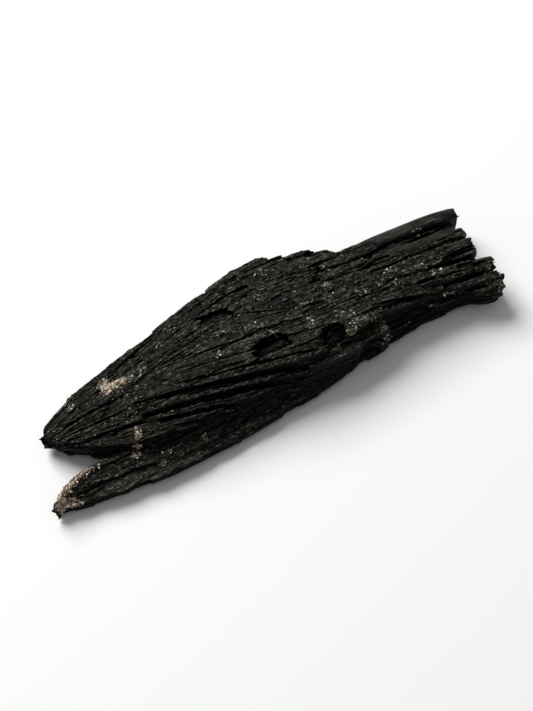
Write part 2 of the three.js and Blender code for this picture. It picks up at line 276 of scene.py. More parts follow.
def blade(path, start, end, width, top, bottom, pitch=(0.4, 0.2), levels=2, roll=0.0, ragged=0.5, size=0.14,
          grit=0.04, wander=0.04, crown=0.2, drop=0.15, leaf=0.0, down=False, edges=None, inset=0.0,
          follow=0.3, recess=1.0):
    """A blade along path(x) from start to end. top and bottom are heights, as functions of x and y.

    pitch is the size of its facets along and across, and levels how many leaves lie one on another. roll
    is its sideways slope, ragged how unevenly its ends break, size and grit how splintered it is, wander
    how far it strays, crown how much its sides are rounded off, drop how far its ends sink, and leaf how
    far its side leaves stand out. A blade that faces down has its splinters underneath. edges are a near
    and a far line that it keeps within, by inset, and recess is how much further its hidden leaves are
    drawn back. follow is how much its face tilts with the fan's surface: at 0 it is level across, and
    neighbours make a staircase.
    """
    length = end - start
    if length < 2:
        return
    pieces = (max(4, round(length / pitch[0])), max(3, round(width / pitch[1])), levels)
    mesh, unit = blank(*pieces)
    share, side, up = unit[:, 0], unit[:, 1] - 0.5, unit[:, 2]
    row, cell = np.rint(share * pieces[0]).astype(int), np.rint(unit[:, 1] * pieces[1]).astype(int)
    level = np.rint(up * levels).astype(int)
    heights, jags = splinters(pieces[0], pieces[1], pitch[0], size, grit)
    hidden = up if down else 1 - up
    jags = jags[:, None, :] + rng.normal(0, 0.4, (2, levels + 1, 1))
    longest = BROKEN_SHARE * length
    jags = np.clip(jags * ragged, -longest, longest)
    slants = rng.uniform(-0.2, 2.4, 2) * min(ragged, longest)
    x = start + length * share + (jags[0][level, cell] + slants[0] * hidden) * (1 - share) ** END_CURVE
    x = x + (jags[1][level, cell] - slants[1] * hidden) * share**END_CURVE
    centre = path(x) + wander * np.sin(rng.uniform(0, 6.3) + x * rng.uniform(0.15, 0.45))
    taper = 1 - rng.uniform(0.1, 0.45) * abs(2 * share - 1) ** 3
    leaves = leaf * rng.uniform(-1, 1, (levels + 1, 2))[level, (side > 0).astype(int)] * abs(2 * side) ** 3
    y = centre + side * (width * taper + leaves)
    if edges:
        shifted = x + rng.uniform(-0.6, 0.6)
        drawn_back = inset + hidden * rng.uniform(0, recess)
        drawn_back += (hidden > 0) * rng.uniform(0, 0.7 * recess, levels + 1)[level]
        nearest = along(edges[0], shifted) + drawn_back
        farthest = along(edges[1], shifted) - drawn_back - FAR_MARGIN
        y, centre = np.clip(y, nearest, farthest), np.clip(centre, nearest, farthest)
    ends = np.where(share < 0.5, *rng.uniform(0.3, 1.4, 2))
    fall = drop * ends * np.exp(-np.minimum(share, 1 - share) * length / END_FALL)
    relief = heights[row, cell] - crown * abs(2 * side) ** 3 - fall + roll * side * width
    relief = relief + 0.5 * wander * np.sin(rng.uniform(0, 6.3) + x * rng.uniform(0.3, 0.9))
    judged = centre + (y - centre) * follow
    high, low = top(x, judged), bottom(x, judged)
    if down:
        low = low - relief
    else:
        high = high + relief
        high = np.where(high > SOFT_TOP, SOFT_TOP + (high - SOFT_TOP) * SQUASH, high)
    finish_blade(mesh, np.stack([x, y, low + (high - low) * up], 1))


print("a blade of 20 x 1.6 mm has", len(blank(50, 8, 2)[0].polygons), "facets before it is joined")

# %% [markdown]
# ## The body of the fan
#
# Blades lie side by side in layers. A few coarse ones fill the inside, so that nothing is hollow. Above
# them comes a closed layer of long blades, then the blades that stand proud of it, and last the short
# splinters. The blades that stand proud are listed one by one where the real fan has its big steps, and
# the rest are random with a fixed seed, because no two of them matter on their own.

# %% The core
ROOT, TIP = -44.4, 51  # x from where blades may start and to where they may run
CORE_WIDTH = 3.4
CORE_ROWS = 13
CORE_LEVELS = 3


def fan_line(across):
    """The crystal line at this share across the fan, as a path for a blade."""
    return lambda x: line_y(x, across)


def layer_height(share, lift=0.0):
    """A height at this share of the way from the underside to the upper surface, and this much above it."""
    def height(x, y):
        low, high = base_height(x, y) + 0.5, top_height(x, y) - 1.4
        return low + (high - low) * share + lift
    return height


for row in range(CORE_ROWS):
    for layer in range(CORE_LEVELS):
        across = (row + 0.5 + rng.uniform(-0.2, 0.2)) / CORE_ROWS
        start, end = stretch(across, ROOT, TIP, 0.6)
        blade(fan_line(across), start + rng.uniform(0, 0.8), end - rng.uniform(0, 3), CORE_WIDTH,
              layer_height((layer + 1) / CORE_LEVELS), layer_height(layer / CORE_LEVELS, -0.3),
              pitch=(1.2, 0.5), edges=EDGES, inset=rng.uniform(0.15, 0.7), ragged=0.3, size=0.05, crown=0.1,
              drop=0.1)

# %% The closed upper layer
FILL_ROWS = 18
FILL_WIDTH = 2.6
WIDEST = 28  # mm, close to the fan's greatest width


def above(lift, last, start, end):
    """Heights that stand this far above the upper surface, changing from lift at start to last at end."""
    return lambda x, y: top_height(x, y) + lift + (last - lift) * np.clip((x - start) / (end - start), 0, 1)


def middle_down(x, y):
    """Where upper blades end inside: a little below the middle, so that they overlap the lower ones."""
    return np.full_like(x, MIDDLE - 0.9)


def fan_width(x):
    return along(FAR_EDGE, x) - along(NEAR_EDGE, x)


def narrowing(x):
    """Blades grow narrower where the fan does."""
    return float(np.clip(fan_width(x) / WIDEST, 0.45, 1))


def random_stretch(shortest, longest, core, low=0.02, high=0.98, first=ROOT, last=TIP):
    """A random crystal line between these shares across, and a random run along it inside the outline."""
    across, length = rng.uniform(low, high), rng.uniform(shortest, longest)
    begin = rng.uniform(first - length * 0.3, last - length * 0.6)
    return (across, *stretch(across, max(begin, ROOT), min(begin + length, TIP), core))


for row in range(FILL_ROWS):
    begin = ROOT + rng.uniform(-4, 4)
    while begin < 48:
        finish = begin + rng.uniform(22, 50)
        across = float(np.clip((row + 0.5 + rng.uniform(-0.3, 0.3)) / FILL_ROWS, 0.01, 0.99))
        start, end = stretch(across, max(begin, ROOT), min(finish, TIP), 0.35)
        blade(fan_line(across), start, end + rng.uniform(-0.6, 0.5),
              FILL_WIDTH * narrowing((start + end) / 2),
              above(*rng.uniform(-1.7, -0.8, 2), start, end), middle_down, pitch=(0.5, 0.25), leaf=0.3,
              levels=2 if 0.12 < across < 0.88 else 6, roll=rng.uniform(-0.2, 0.05), edges=EDGES,
              inset=rng.uniform(0, 0.5))
        begin = finish - rng.uniform(2, 5)

# %% [markdown]
# ## The blades that catch the light
#
# Long proud blades, nearly level plates and two smooth bars give the fan its look, so each has its own
# line in a list. Where the big plates lie, the random blades that come after them are pressed down, or
# they would cover the plates up.

# %% Long proud blades
# How far across each lies (0 near, 1 far), where it starts and ends, its width and how much it stands up.
PROUD_BLADES = [
    (0.97, -37.4, -20, 2, 0.9), (0.95, -22, -3.4, 2.2, 1), (0.94, -8, 4.6, 2.2, 0.9),
    (0.98, 2, 13, 2, 0.7), (0.9, -2, 14, 2.2, 1), (0.86, 4, 23.2, 2.2, 1.1), (0.8, -30, -4, 2, 1.1),
    (0.84, 22.5, 50.3, 3, 1.2), (0.76, 20, 46.4, 2.4, 0.6), (0.74, -14, 12, 2.4, 0.8),
    (0.7, -38, -10, 2, 1), (0.68, 8, 47, 2.2, 0.7), (0.64, -12, 26, 2.2, 1.1), (0.58, -40, 2, 2.2, 0.9),
    (0.56, 16, 48, 2, 1.2), (0.5, -43, -6, 2.2, 1), (0.48, -4, 34, 2.4, 0.9), (0.42, -44.5, 0, 2, 0.9),
    (0.41, 8, 48, 2.2, 1), (0.34, -43, 13, 2.2, 1.1), (0.33, 19, 49.6, 2.2, 0.9),
    (0.26, -41, 20, 2.2, 0.7), (0.25, 25, 49.5, 2, 1.1), (0.18, -38, 22.4, 2, 0.8),
    (0.16, 36, 49, 1.8, 0.8), (0.1, -36, 16.2, 2, 0.9), (0.04, -30, 13, 1.8, 0.9),
]
for across, start, end, width, lift in PROUD_BLADES:
    start, end = stretch(across, max(start, ROOT), end, 0.3 * width)
    blade(fan_line(across), start, end, width * 1.2 * narrowing((start + end) / 2),
          above(lift - 1.2, lift - 0.7, start, end), middle_down, pitch=(0.32, 0.2),
          roll=rng.uniform(-0.22, 0), edges=EDGES, inset=rng.uniform(0, 0.3), size=0.15)

# %% Plates
# From, to, width, how far each end stands up, how splintered it is, and how much it tilts with the surface.
PLATES = [
    ((-22.4, 5.3), (-2.9, -0.5), 4.2, 0.2, 0.8, 0.09, 0.7),
    ((-13, -1.4), (9.3, -5.4), 4.2, 0.2, 0.7, 0.08, 0.1),
    ((5, -7), (21.8, -7.5), 3.6, 0.2, 0.9, 0.1, -0.05),
    ((-12.8, 8.8), (8.6, 2.9), 3.6, 0.2, 0.8, 0.09, 0.7),
    ((12, -1.2), (36, -5.2), 2.2, 0.3, 0.9, 0.1, 0.1), ((30, 2.4), (46.6, 0.7), 2, 0.4, 1, 0.1, 0.5),
    ((28, -1.6), (45.6, -4.2), 1.8, 0.3, 0.9, 0.13, 0.2), ((36.4, -6), (48, -8.4), 1.7, 0.2, 0.8, 0.12, 0),
    ((19, 10.6), (31, 9.4), 2.6, 0.4, 1, 0.04, 1), ((-30, 9.2), (-6, 12.6), 3, 0, 0.5, 0.1, 0.7),
    ((-2, 12.4), (13, 11.6), 3.4, 0.1, 0.6, 0.12, 0.7), ((-3, 7.4), (14.5, 6.6), 3, 0.1, 0.8, 0.12, 0.7),
    ((14, -4.2), (22.8, -5), 2.6, 0.1, 0.7, 0.13, 0), ((12, 3.4), (30, 2), 2.6, 0, 0.7, 0.14, 0.7),
    ((-33, -1.2), (-21.5, -5.2), 3.4, 0.2, 0.5, 0.07, 0.5),
    ((-20, 3.4), (0.2, 1.6), 1.6, 0.3, 0.7, 0.1, 0.7), ((-6, -7.2), (12, -8.6), 1.4, -0.4, 0.2, 0.1, 0),
    ((-38, 8.6), (-22, 10.6), 1.6, 0, 0.6, 0.08, 0.5), ((6, 14.6), (19, 12.8), 2.4, 0, 0.7, 0.12, 0.5),
    ((16, 7.6), (27, 7), 2.2, 0.1, 0.8, 0.12, 0.5), ((22.5, -4.5), (36, -5.3), 2.4, 0.5, 0.8, 0.09, 0),
    ((24, -5.5), (33, -5.7), 1.1, 0.3, 0.5, 0.1, 0), ((30, -5.2), (41, -6.6), 1.6, 0.3, 0.6, 0.1, 0),
    ((9, -8.6), (20, -8.9), 1.2, 0.3, 0.8, 0.1, 0), ((-8, -6.4), (6, -7.6), 1.3, 0.1, 0.6, 0.1, 0),
    ((-19, -5.4), (-5, -7.2), 1.2, 0.1, 0.6, 0.1, 0), ((-29, 0.7), (4.6, -8.2), 1.1, 0.3, 0.8, 0.08, -0.1),
    ((-27.5, -1.8), (-1, -8.7), 1.1, 0.3, 0.8, 0.08, -0.1),
    ((-26, -4), (-8, -8.6), 1, 0.3, 0.8, 0.08, -0.1), ((-24, 1.6), (7, -6.9), 1, 0.2, 0.7, 0.08, -0.1),
    ((-22, 3.1), (-2, -1.7), 1.1, 0.2, 0.6, 0.08, 0), ((-34, 2.6), (-16, 0.4), 0.9, 0.2, 0.6, 0.08, 0),
    ((-36, 0.4), (-20, -4.2), 0.9, 0.2, 0.6, 0.08, 0), ((2, -8.3), (13, -9), 0.9, 0.2, 0.7, 0.1, 0),
    ((-31, -3.4), (-13, -7), 2.4, -0.4, 0.3, 0.12, -0.1),
    ((-30, -1.6), (-16, -4.4), 2, -0.2, 0.3, 0.12, -0.1),
    ((-17, -5), (-6, -7.4), 1.6, -0.5, 0.1, 0.12, -0.1),
]


def straight(start, end):
    (x0, y0), (x1, y1) = start, end
    return lambda x: y0 + (y1 - y0) * (x - x0) / (x1 - x0)


for start, end, width, lift, last, size, follow in PLATES:
    blade(straight(start, end), start[0], end[0], width, above(lift - 0.3, last - 0.3, start[0], end[0]),
          middle_down, pitch=(0.32, 0.2), levels=8 if follow < 0.3 else 3, leaf=0.35,
          roll=rng.uniform(-0.1, 0), edges=EDGES, size=size, follow=follow, ragged=0.8)

# %% Smooth bars
# Two bars at the far side of the free end have kept their smooth skin: from, to, width, how far each end
# stands up and how much their sides are rounded off.
SMOOTH_FROM = 0.69  # the share across from which they lie
SMOOTH_BARS = [((27, 10.9), (48.6, 8.6), 3, 0.5, 1, 0.75), ((31, 6.4), (46, 5.4), 2.7, -0.2, 0.2, 0.2)]
for start, end, width, lift, last, crown in SMOOTH_BARS:
    blade(straight(start, end), start[0], end[0], width, above(lift, last, start[0], end[0]), middle_down,
          pitch=(0.5, 0.3), edges=EDGES, size=0.015, grit=0.008, follow=0.6, ragged=0.4, crown=crown,
          drop=0.4)

# %% Random blades and splinters
# Where the big plates show: from x to x, from share to share across. Random blades lie lower there.
QUIET = [
    (-12, 22, 0.06, 0.32), (22, 50, 0.74, 1), (-22, -3, 0.42, 0.64), (-33, -20, 0.2, 0.42),
    (30, 46, 0.62, 0.76),
]
QUIET_DROP = 0.9
SHEETS = 36  # wide, tilted blades on the far half
RIBS = 120  # narrow blades all over
SPLINTERS = 230


def lowered(across, start, end):
    """How much lower a random blade lies because of a big plate."""
    middle = (start + end) / 2
    return QUIET_DROP * any(x0 < middle < x1 and low < across < high for x0, x1, low, high in QUIET)


for _ in range(SHEETS):
    across, start, end = random_stretch(12, 34, 0.5, low=0.42, last=30)
    tip = rng.uniform(-0.25, 0.45) - lowered(across, start, end)
    blade(fan_line(across), start, end + rng.uniform(-0.5, 0.6), rng.uniform(1.8, 3.6),
          above(tip - rng.uniform(0.3, 0.9), tip, start, end), middle_down, pitch=(0.3, 0.18),
          roll=rng.uniform(-0.35, -0.05), edges=EDGES, inset=rng.uniform(0, 0.4), size=0.15)

for _ in range(RIBS):
    across, start, end = random_stretch(9, 34, 0.3)
    low_side = across < 0.45 and start < 10
    tip = rng.uniform(-0.9, 0.5) if low_side or start > 5 else rng.uniform(-0.9, 0.2)
    tip -= lowered(across, start, end)
    blade(fan_line(across), start, end + rng.uniform(-0.5, 0.6), rng.uniform(0.7, 1.6),
          above(tip - rng.uniform(0.2, 0.8), tip, start, end), middle_down, pitch=(0.32, 0.18),
          roll=rng.uniform(-0.3, 0.15), edges=EDGES, inset=rng.uniform(0, 0.4), size=0.12, follow=0)

for _ in range(SPLINTERS):
    across, start, end = random_stretch(2.5, 12, 0.2)
    tip = rng.uniform(-0.5, 0.5) - lowered(across, start, end)
    blade(fan_line(across), start, end, rng.uniform(0.35, 0.75), above(tip - 0.4, tip, start, end),
          middle_down, pitch=(0.35, 0.18), levels=1, roll=rng.uniform(-0.3, 0.3), ragged=0.3, size=0.05,
          crown=0.2, edges=EDGES, inset=rng.uniform(0, 0.4))

# %% [markdown]
# ## The underside and the sides
#
# The underside is built as the top is, from blades that face down. The sides need a third kind: where the
# fan broke out of its rock, the layers end one above the other like the pages of a torn book. Thin blades
# are laid along both edges at random heights, some standing out a little and some drawn back.

# %% Underside
UNDER_ROWS = 15
UNDER_WIDTH = 2.9
UNDER_BLADES = 90


def below(rise):
    """Heights that follow the underside, this far above it."""
    return lambda x, y: base_height(x, y) + rise


def middle_up(x, y):
    """Where lower blades end inside, a little above the middle."""
    return np.full_like(x, MIDDLE + 0.9)


for row in range(UNDER_ROWS):
    begin = ROOT + rng.uniform(-4, 4)
    while begin < 48:
        finish = begin + rng.uniform(24, 60)
        across = float(np.clip((row + 0.5 + rng.uniform(-0.3, 0.3)) / UNDER_ROWS, 0.02, 0.98))
        start, end = stretch(across, max(begin, ROOT), min(finish, TIP), 0.5)
        blade(fan_line(across), start + rng.uniform(0, 0.6), end - rng.uniform(0, 0.9), UNDER_WIDTH,
              middle_up, below(rng.uniform(-0.1, 0.6)), pitch=(0.8, 0.32), roll=rng.uniform(-0.15, 0.15),
              down=True, edges=EDGES, inset=rng.uniform(0.1, 0.8))
        begin = finish - rng.uniform(2, 5)

for _ in range(UNDER_BLADES):
    across, start, end = random_stretch(8, 30, 0.4)
    blade(fan_line(across), start, end, rng.uniform(0.8, 1.9), middle_up, below(rng.uniform(-0.35, 0.3)),
          pitch=(0.7, 0.25), roll=rng.uniform(-0.25, 0.25), down=True, edges=EDGES,
          inset=rng.uniform(0.1, 0.7))

# %% Torn sides
SIDE_BLADES = 110
PAGE_WIDTH = 2.6  # most of it is hidden in the fan


def flat(height):
    return lambda x, y: height + 0 * x


def slope(low, high, x0, x1):
    """A height that runs straight from low at x0 to high at x1."""
    return lambda x, y: low + (high - low) * np.clip((x - x0) / (x1 - x0), 0, 1)


def torn_side(edge, sign, count, first, last, low, high, edges):
    """Thin straight blades along an edge, at random heights between low and high, like torn pages.

    sign is 1 where the fan lies on the far side of the edge, and -1 where it lies on the near side.
    """
    for _ in range(count):
        length = rng.uniform(3, 20)
        start = rng.uniform(first, last - length)
        end = start + length
        thick = rng.uniform(0.3, 0.95)
        inside = [sign * (PAGE_WIDTH / 2 + rng.uniform(-0.4, 0.5)) for _ in range(2)]
        line = [(x, float(along(edge, x)) + depth) for x, depth in zip((start, end), inside)]
        middle, y = (start + end) / 2, (line[0][1] + line[1][1] - sign * PAGE_WIDTH) / 2
        bottom, top = float(low(middle, y)) + thick, float(high(middle, y))
        height = bottom + (top - bottom) * rng.uniform(0, 1)
        tilt = rng.uniform(-0.02, 0.02) * length
        blade(straight(*line), start, end, PAGE_WIDTH, slope(height - tilt, height + tilt, start, end),
              slope(height - thick - tilt, height - thick + tilt, start, end), pitch=(0.6, 0.6), levels=1,
              ragged=0.8, size=0.05, crown=0.1, drop=0.1, leaf=0.2, edges=edges,
              inset=1.3 * rng.uniform(0, 1) ** 1.5, recess=0.3)


for edge, sign in ((NEAR_EDGE, 1), (FAR_EDGE, -1)):
    torn_side(edge, sign, SIDE_BLADES, -43, 48, below(0.1), lambda x, y: top_height(x, y) - 0.5, EDGES)

# %% The torn free end
END_BLADES = 110
END_FROM = 36  # the x from which a crystal line is followed to the free end
for _ in range(END_BLADES):
    across = rng.uniform(0.02, 0.98)
    _, end = stretch(across, END_FROM, TIP, 0.4)
    end += rng.uniform(-1.2, 0.8)
    middle = float(line_y(end, across))
    height = rng.uniform(float(base_height(end, middle)) + 0.8, float(top_height(end, middle)) - 0.2)
    blade(fan_line(across), end - rng.uniform(4, 10), end, rng.uniform(0.7, 2.6), flat(height),
          flat(height - rng.uniform(0.3, 1)), pitch=(0.4, 0.25), levels=1, ragged=0.6, size=0.06, crown=0.1,
          drop=0.1, leaf=0.2, edges=EDGES, inset=rng.uniform(0, 0.5), recess=0.3)
fan_blades = blades

# %% [markdown]
# ## The prong and the shelf
#
# Beside the root a second, lower bundle sticks out as a prong, with a dark cleft between it and the fan.
# It carries on under the near edge as a shelf, with thin ledges in the cavity above it. Its blades are
# nearly parallel, so it has its own two edges and its own heights.

# %% Edges and heights of the prong and the shelf
PRONG_START, PRONG_END = -49.2, 14.5
SHELF_START, SHELF_END = 11, 45.5
PRONG_NEAR = [
    (-49.3, -7.8), (-42.6, -9.4), (-34, -10.7), (-26, -11.6), (-13.5, -11.7), (-4, -11.1), (4, -10.8),
    (9, -10.2), (14.5, -9.5),
]
PRONG_FAR = [(-49.3, -6.7), (-47.8, -5.6), (-46, -4.6), (-42.7, -3.3), (-40, -2.9), (-12, -4), (14.5, -7)]
PRONG_TOP = [(0, 2.5), (0.25, 3.5), (0.6, 4.7), (1, 5)]  # height at each share of the way across
PRONG_BASE = 0.4
SHELF_NEAR = [(11, -9.4), (22, -8.9), (22.6, -8.1), (30, -8.2), (30.8, -7.4), (38, -7.9), (46, -9.1)]
SHELF_FAR = [(11, -5), (24, -3.6), (36, -4), (46, -6)]
SHELF_TOP = [(0, 2.4), (0.4, 2.9), (1, 3.7)]
SHELF_BASE = 0.6
# Thin ledges in the cavity above the shelf: from, to, width, height of their top and thickness.
LEDGES = [
    ((22, -6.7), (35, -7), 1.7, 5.3, 0.8), ((22, -6), (31, -6.2), 1.2, 6, 0.6),
    ((22.5, -8), (30.5, -7.8), 1.5, 3.9, 1), ((23, -7.2), (28, -7.1), 1.4, 4.4, 0.8),
    ((30, -7.6), (44.5, -8.8), 1.3, 4.5, 0.8), ((34, -7), (44, -8), 1.4, 5.5, 0.6),
    ((38, -8), (46, -9.2), 1.6, 5, 0.9), ((27, -7.9), (38, -8), 0.9, 3.4, 1),
    ((33, -7.3), (38, -7.6), 1, 6, 0.5),
]
prong_near, shelf_near = torn(PRONG_NEAR, 1, 0.6), torn(SHELF_NEAR, 1, 0.7)
prong_space = (prong_near, PRONG_FAR, PRONG_TOP, PRONG_BASE)
shelf_space = (shelf_near, SHELF_FAR, SHELF_TOP, SHELF_BASE)
print("the prong is", PRONG_END - PRONG_START, "mm long, and its near edge has", len(prong_near), "points")

# %% Blades of the prong and the shelf
def between(near, far, share):
    """A path at this share of the way from a near to a far edge."""
    return lambda x: along(near, x) + (along(far, x) - along(near, x)) * share


def bundle(near, far, tops, base, count, start, end, lengths, widths, lifts, pitch):
    """Random blades in a bundle that lies between two edges. They end at different places.

    lengths, widths and lifts are the least and the most of each, and lifts are measured from the tops.
    """
    for _ in range(count):
        share, length = rng.uniform(0.04, 0.96), rng.uniform(*lengths)
        first = float(np.clip(rng.uniform(start - length * 0.5, end - length * 0.5), start, end - 12))
        last = min(first + length, end - rng.uniform(0, 9))
        first += rng.uniform(0, 1.2)
        lift = rng.uniform(*lifts)

        def top(x, y, lift=lift):
            across = (y - along(near, x)) / (along(far, x) - along(near, x))
            return along(tops, across) + lift
        blade(between(near, far, share), first, last, rng.uniform(*widths), top,
              lambda x, y: base + 0.4 * rng.uniform(0, 1) + 0 * x, pitch=pitch, roll=rng.uniform(-0.2, 0.2),
              ragged=0.7, levels=3, leaf=0.3, edges=(near, far), inset=rng.uniform(0, 0.35), size=0.12)


blades = bpy.data.collections.new("prong_blades")
bundle(*prong_space, 26, PRONG_START, PRONG_END, (40, 64), (1.6, 2.4), (-0.9, -0.4), (0.5, 0.25))
bundle(*prong_space, 70, PRONG_START, PRONG_END, (8, 40), (0.7, 1.6), (-0.6, 0.2), (0.35, 0.18))
bundle(*shelf_space, 12, SHELF_START, SHELF_END, (24, 34), (1.6, 2.4), (-0.8, -0.3), (0.6, 0.25))
bundle(*shelf_space, 26, SHELF_START, SHELF_END, (8, 26), (0.7, 1.4), (-0.6, 0.1), (0.45, 0.2))
for start, end, width, top, thick in LEDGES:
    blade(straight(start, end), start[0], end[0], width, flat(top), flat(top - thick), pitch=(0.35, 0.2),
          ragged=0.9, leaf=0.4, size=0.12, grit=0.07, edges=(shelf_near, FAR_EDGE), recess=0.5)
torn_side(PRONG_NEAR, 1, 90, -48, 13, flat(0.5), flat(3.6), (prong_near, PRONG_FAR))
torn_side(SHELF_NEAR, 1, 40, 12, 45, flat(0.6), flat(2.8), (shelf_near, SHELF_FAR))
prong_blades = blades

# %% [markdown]
# ## Joining the blades
#
# The real fan is one piece, so its mesh is one closed skin with no faces hidden inside. A Boolean modifier
# with the Manifold solver joins nearly a thousand closed blades at once. The same solver then takes away
# what has broken out: steep pits in the upper surface, the cavity under the near edge, and everything
# below the resting plane.

# %% Join
def evaluated(obj, name):
    """The object's mesh with its modifiers applied."""
    mesh = bpy.data.meshes.new_from_object(obj.evaluated_get(bpy.context.evaluated_depsgraph_get()))
    mesh.name = name
    return mesh


def combine(obj, operation, collection):
    """Joins obj with a collection of closed meshes, or cuts them out of it."""
    bpy.context.scene.collection.children.link(collection)
    step = obj.modifiers.new(operation.lower(), "BOOLEAN")
    step.operation, step.solver = operation, "MANIFOLD"
    step.operand_type, step.collection = "COLLECTION", collection
    mesh = evaluated(obj, obj.name)
    obj.modifiers.clear()
    obj.data = mesh
    bpy.context.scene.collection.children.unlink(collection)


def joined(collection, name):
    """All blades of a collection as one closed skin."""
    first = collection.objects[0]
    collection.objects.unlink(first)
    bpy.context.scene.collection.objects.link(first)
    first.name = name
    combine(first, "UNION", collection)
    print(name, "has", len(first.data.vertices), "vertices")
    return first


fan = joined(fan_blades, "kyanite_fan_blades")
prong = joined(prong_blades, "kyanite_prong_blades")

# %% Where pits and cracks lie
HOLLOWS = [  # from, to, width and depth of what has broken out of the top
    ((-8.5, 11.7), (-1.6, 10.3), 2.6, 1.7), ((-3.2, -0.8), (4.4, -1.4), 3.4, 2.7),
    ((9.1, -4.6), (14.9, -4.4), 3.4, 2.6), ((-5.6, -3.2), (-3, -3.1), 1.8, 1.5),
    ((23.7, 5.3), (27.8, 5.6), 0.9, 1.5), ((12.4, 9.5), (14.4, 9.8), 1, 1.1),
]
CRACKS = [  # from, to, width and depth of the long dark cracks and grooves
    ((-28, 1.8), (4.2, -7.4), 1, 1.7), ((-28.5, -0.6), (5, -9.2), 1, 1.7),
    ((-26, -3), (-6, -8.3), 0.7, 1.4), ((-24, -5.2), (-8.3, -9), 0.5, 1.2),
    ((-20, 1.1), (7.8, -6.2), 0.55, 1.3), ((-18, 3.2), (-3.9, -0.2), 0.5, 1.2),
    ((-24, 6.8), (0.2, 2.4), 0.5, 1.2), ((-0.6, 2.4), (8.7, 2.1), 0.5, 1.3),
    ((-2, 0.4), (15, -3.6), 0.4, 1.2), ((-1.9, 8.8), (9.2, 3.6), 0.4, 1.1),
    ((12.3, -6.9), (21, -7.8), 0.6, 1.3), ((20, -2.9), (35.8, -6.6), 0.6, 1.3),
    ((39, -0.6), (47, -0.9), 0.9, 1.5), ((31.4, -3.1), (35.8, -3.5), 0.8, 1.5),
    ((36.1, -5.2), (48.4, -7.2), 0.7, 1.5), ((39.7, -7.6), (46.8, -9.6), 0.7, 1.4),
    ((35.6, 6.9), (48, 6.2), 1, 1.7), ((27, 7.9), (33, 8.4), 0.7, 1.2), ((26, 0.8), (32.8, 0.2), 0.4, 1),
    ((16.7, 0.5), (28, -1.8), 0.4, 1), ((-42, 5.6), (-26, 4.6), 0.6, 1.2),
    ((-41.5, 3.6), (-28.5, 1.6), 0.6, 1.3), ((-40.5, 1.4), (-27, -2), 0.7, 1.4),
    ((-41, 7.6), (-27, 8.2), 0.5, 1.1), ((-30, 10.9), (-12, 15.4), 0.35, 0.8),
    ((-22, 9.8), (-6, 14), 0.35, 0.8), ((4, 12.8), (22, 10.9), 0.4, 0.9), ((8, 8.4), (24, 5.6), 0.4, 1),
    ((14, 16), (23, 12.4), 0.4, 0.9), ((30, 3.9), (46, 2.8), 0.5, 1.2),
]
print(len(HOLLOWS), "pits and", len(CRACKS), "cracks")

# %% Break them out
FLOOR_BLOCK = (140, 60, 10)  # mm: what is cut away under the resting plane
CLEAR = 3  # mm by which a cutter stands above the surface
CAVITY_Y, CAVITY_START, CAVITY_END, CAVITY_WIDTH = -8.2, 22.6, 45, 5.4
CAVITY_BOTTOM, CAVITY_TOP = 3.7, 5.6
CAVITY_FALL, FALL_FROM = 0.04, 23  # how much its top falls in each mm along it, and from which x

cutters = bpy.data.collections.new("cutters")
blades = cutters


def dig(start, end, width, depth):
    """Cuts overlapping splinters out along a straight line, each of them deeper towards its start."""
    length = end[0] - start[0]
    line = straight(start, end)
    for _ in range(int(length / 3) + 2 + int(width * 4)):
        part = rng.uniform(0.35, 0.9) * length
        first = start[0] + rng.uniform(-0.15, 1.15) * (length - part)
        narrow = rng.uniform(0.25, 0.5) * width
        offset = rng.uniform(-0.6, 0.6) * (width - narrow)
        deep = depth * rng.uniform(0.35, 1)
        blade(lambda x: line(x) + offset, first, first + part, narrow,
              lambda x, y: top_height(x, y) + CLEAR, above(-deep, -deep * 0.5, first, first + part),
              pitch=(0.5, 0.2), levels=3, down=True, size=0.15, leaf=0.15, crown=-0.2, drop=-0.5, follow=1)


for hollow_or_crack in HOLLOWS + CRACKS:
    dig(*hollow_or_crack)
blade(straight((CAVITY_START, CAVITY_Y), (CAVITY_END, CAVITY_Y)), CAVITY_START, CAVITY_END, CAVITY_WIDTH,
      lambda x, y: CAVITY_TOP - CAVITY_FALL * (x - FALL_FROM), flat(CAVITY_BOTTOM), pitch=(0.6, 0.4),
      levels=4, size=0.12, leaf=0.5, crown=0.3)
floor_block, corners = blank(1, 1, 1)
finish_blade(floor_block, (corners - (0.5, 0.5, 1)) * FLOOR_BLOCK)
combine(fan, "DIFFERENCE", cutters)
floor_cutter = bpy.data.collections.new("floor_cutter")
floor_cutter.objects.link(cutters.objects[-1])
combine(prong, "DIFFERENCE", floor_cutter)
print("after the cuts:", len(fan.data.vertices), "and", len(prong.data.vertices), "vertices")

# %% [markdown]
# ## Cleaning up
#
# Joining and cutting leave loose crumbs and, on flat places, far more triangles than show. Crumbs are
# pieces that hang on nothing, and they are deleted. The Decimate modifier then takes triangles from the
# flat places first, and whatever small holes it tears are filled again.

# %% Crumbs and flat places
CRUMB = 1500  # pieces with fewer vertices than this are crumbs
FAN_TRIANGLES, PRONG_TRIANGLES = 196000, 120000


def delete_crumbs(bm):
    """Deletes every crumb that hangs on nothing."""
    seen, pieces = set(), []
    for first in bm.verts:
        if first in seen:
            continue
        piece, ahead = [], [first]
        seen.add(first)
        while ahead:
            vert = ahead.pop()
            piece.append(vert)
            for edge in vert.link_edges:
                other = edge.other_vert(vert)
                if other not in seen:
                    seen.add(other)
                    ahead.append(other)
        pieces.append(piece)
    crumbs = [piece for piece in pieces if len(piece) < CRUMB]
    bmesh.ops.delete(bm, geom=[v for piece in crumbs for v in piece], context="VERTS")
    return len(crumbs)


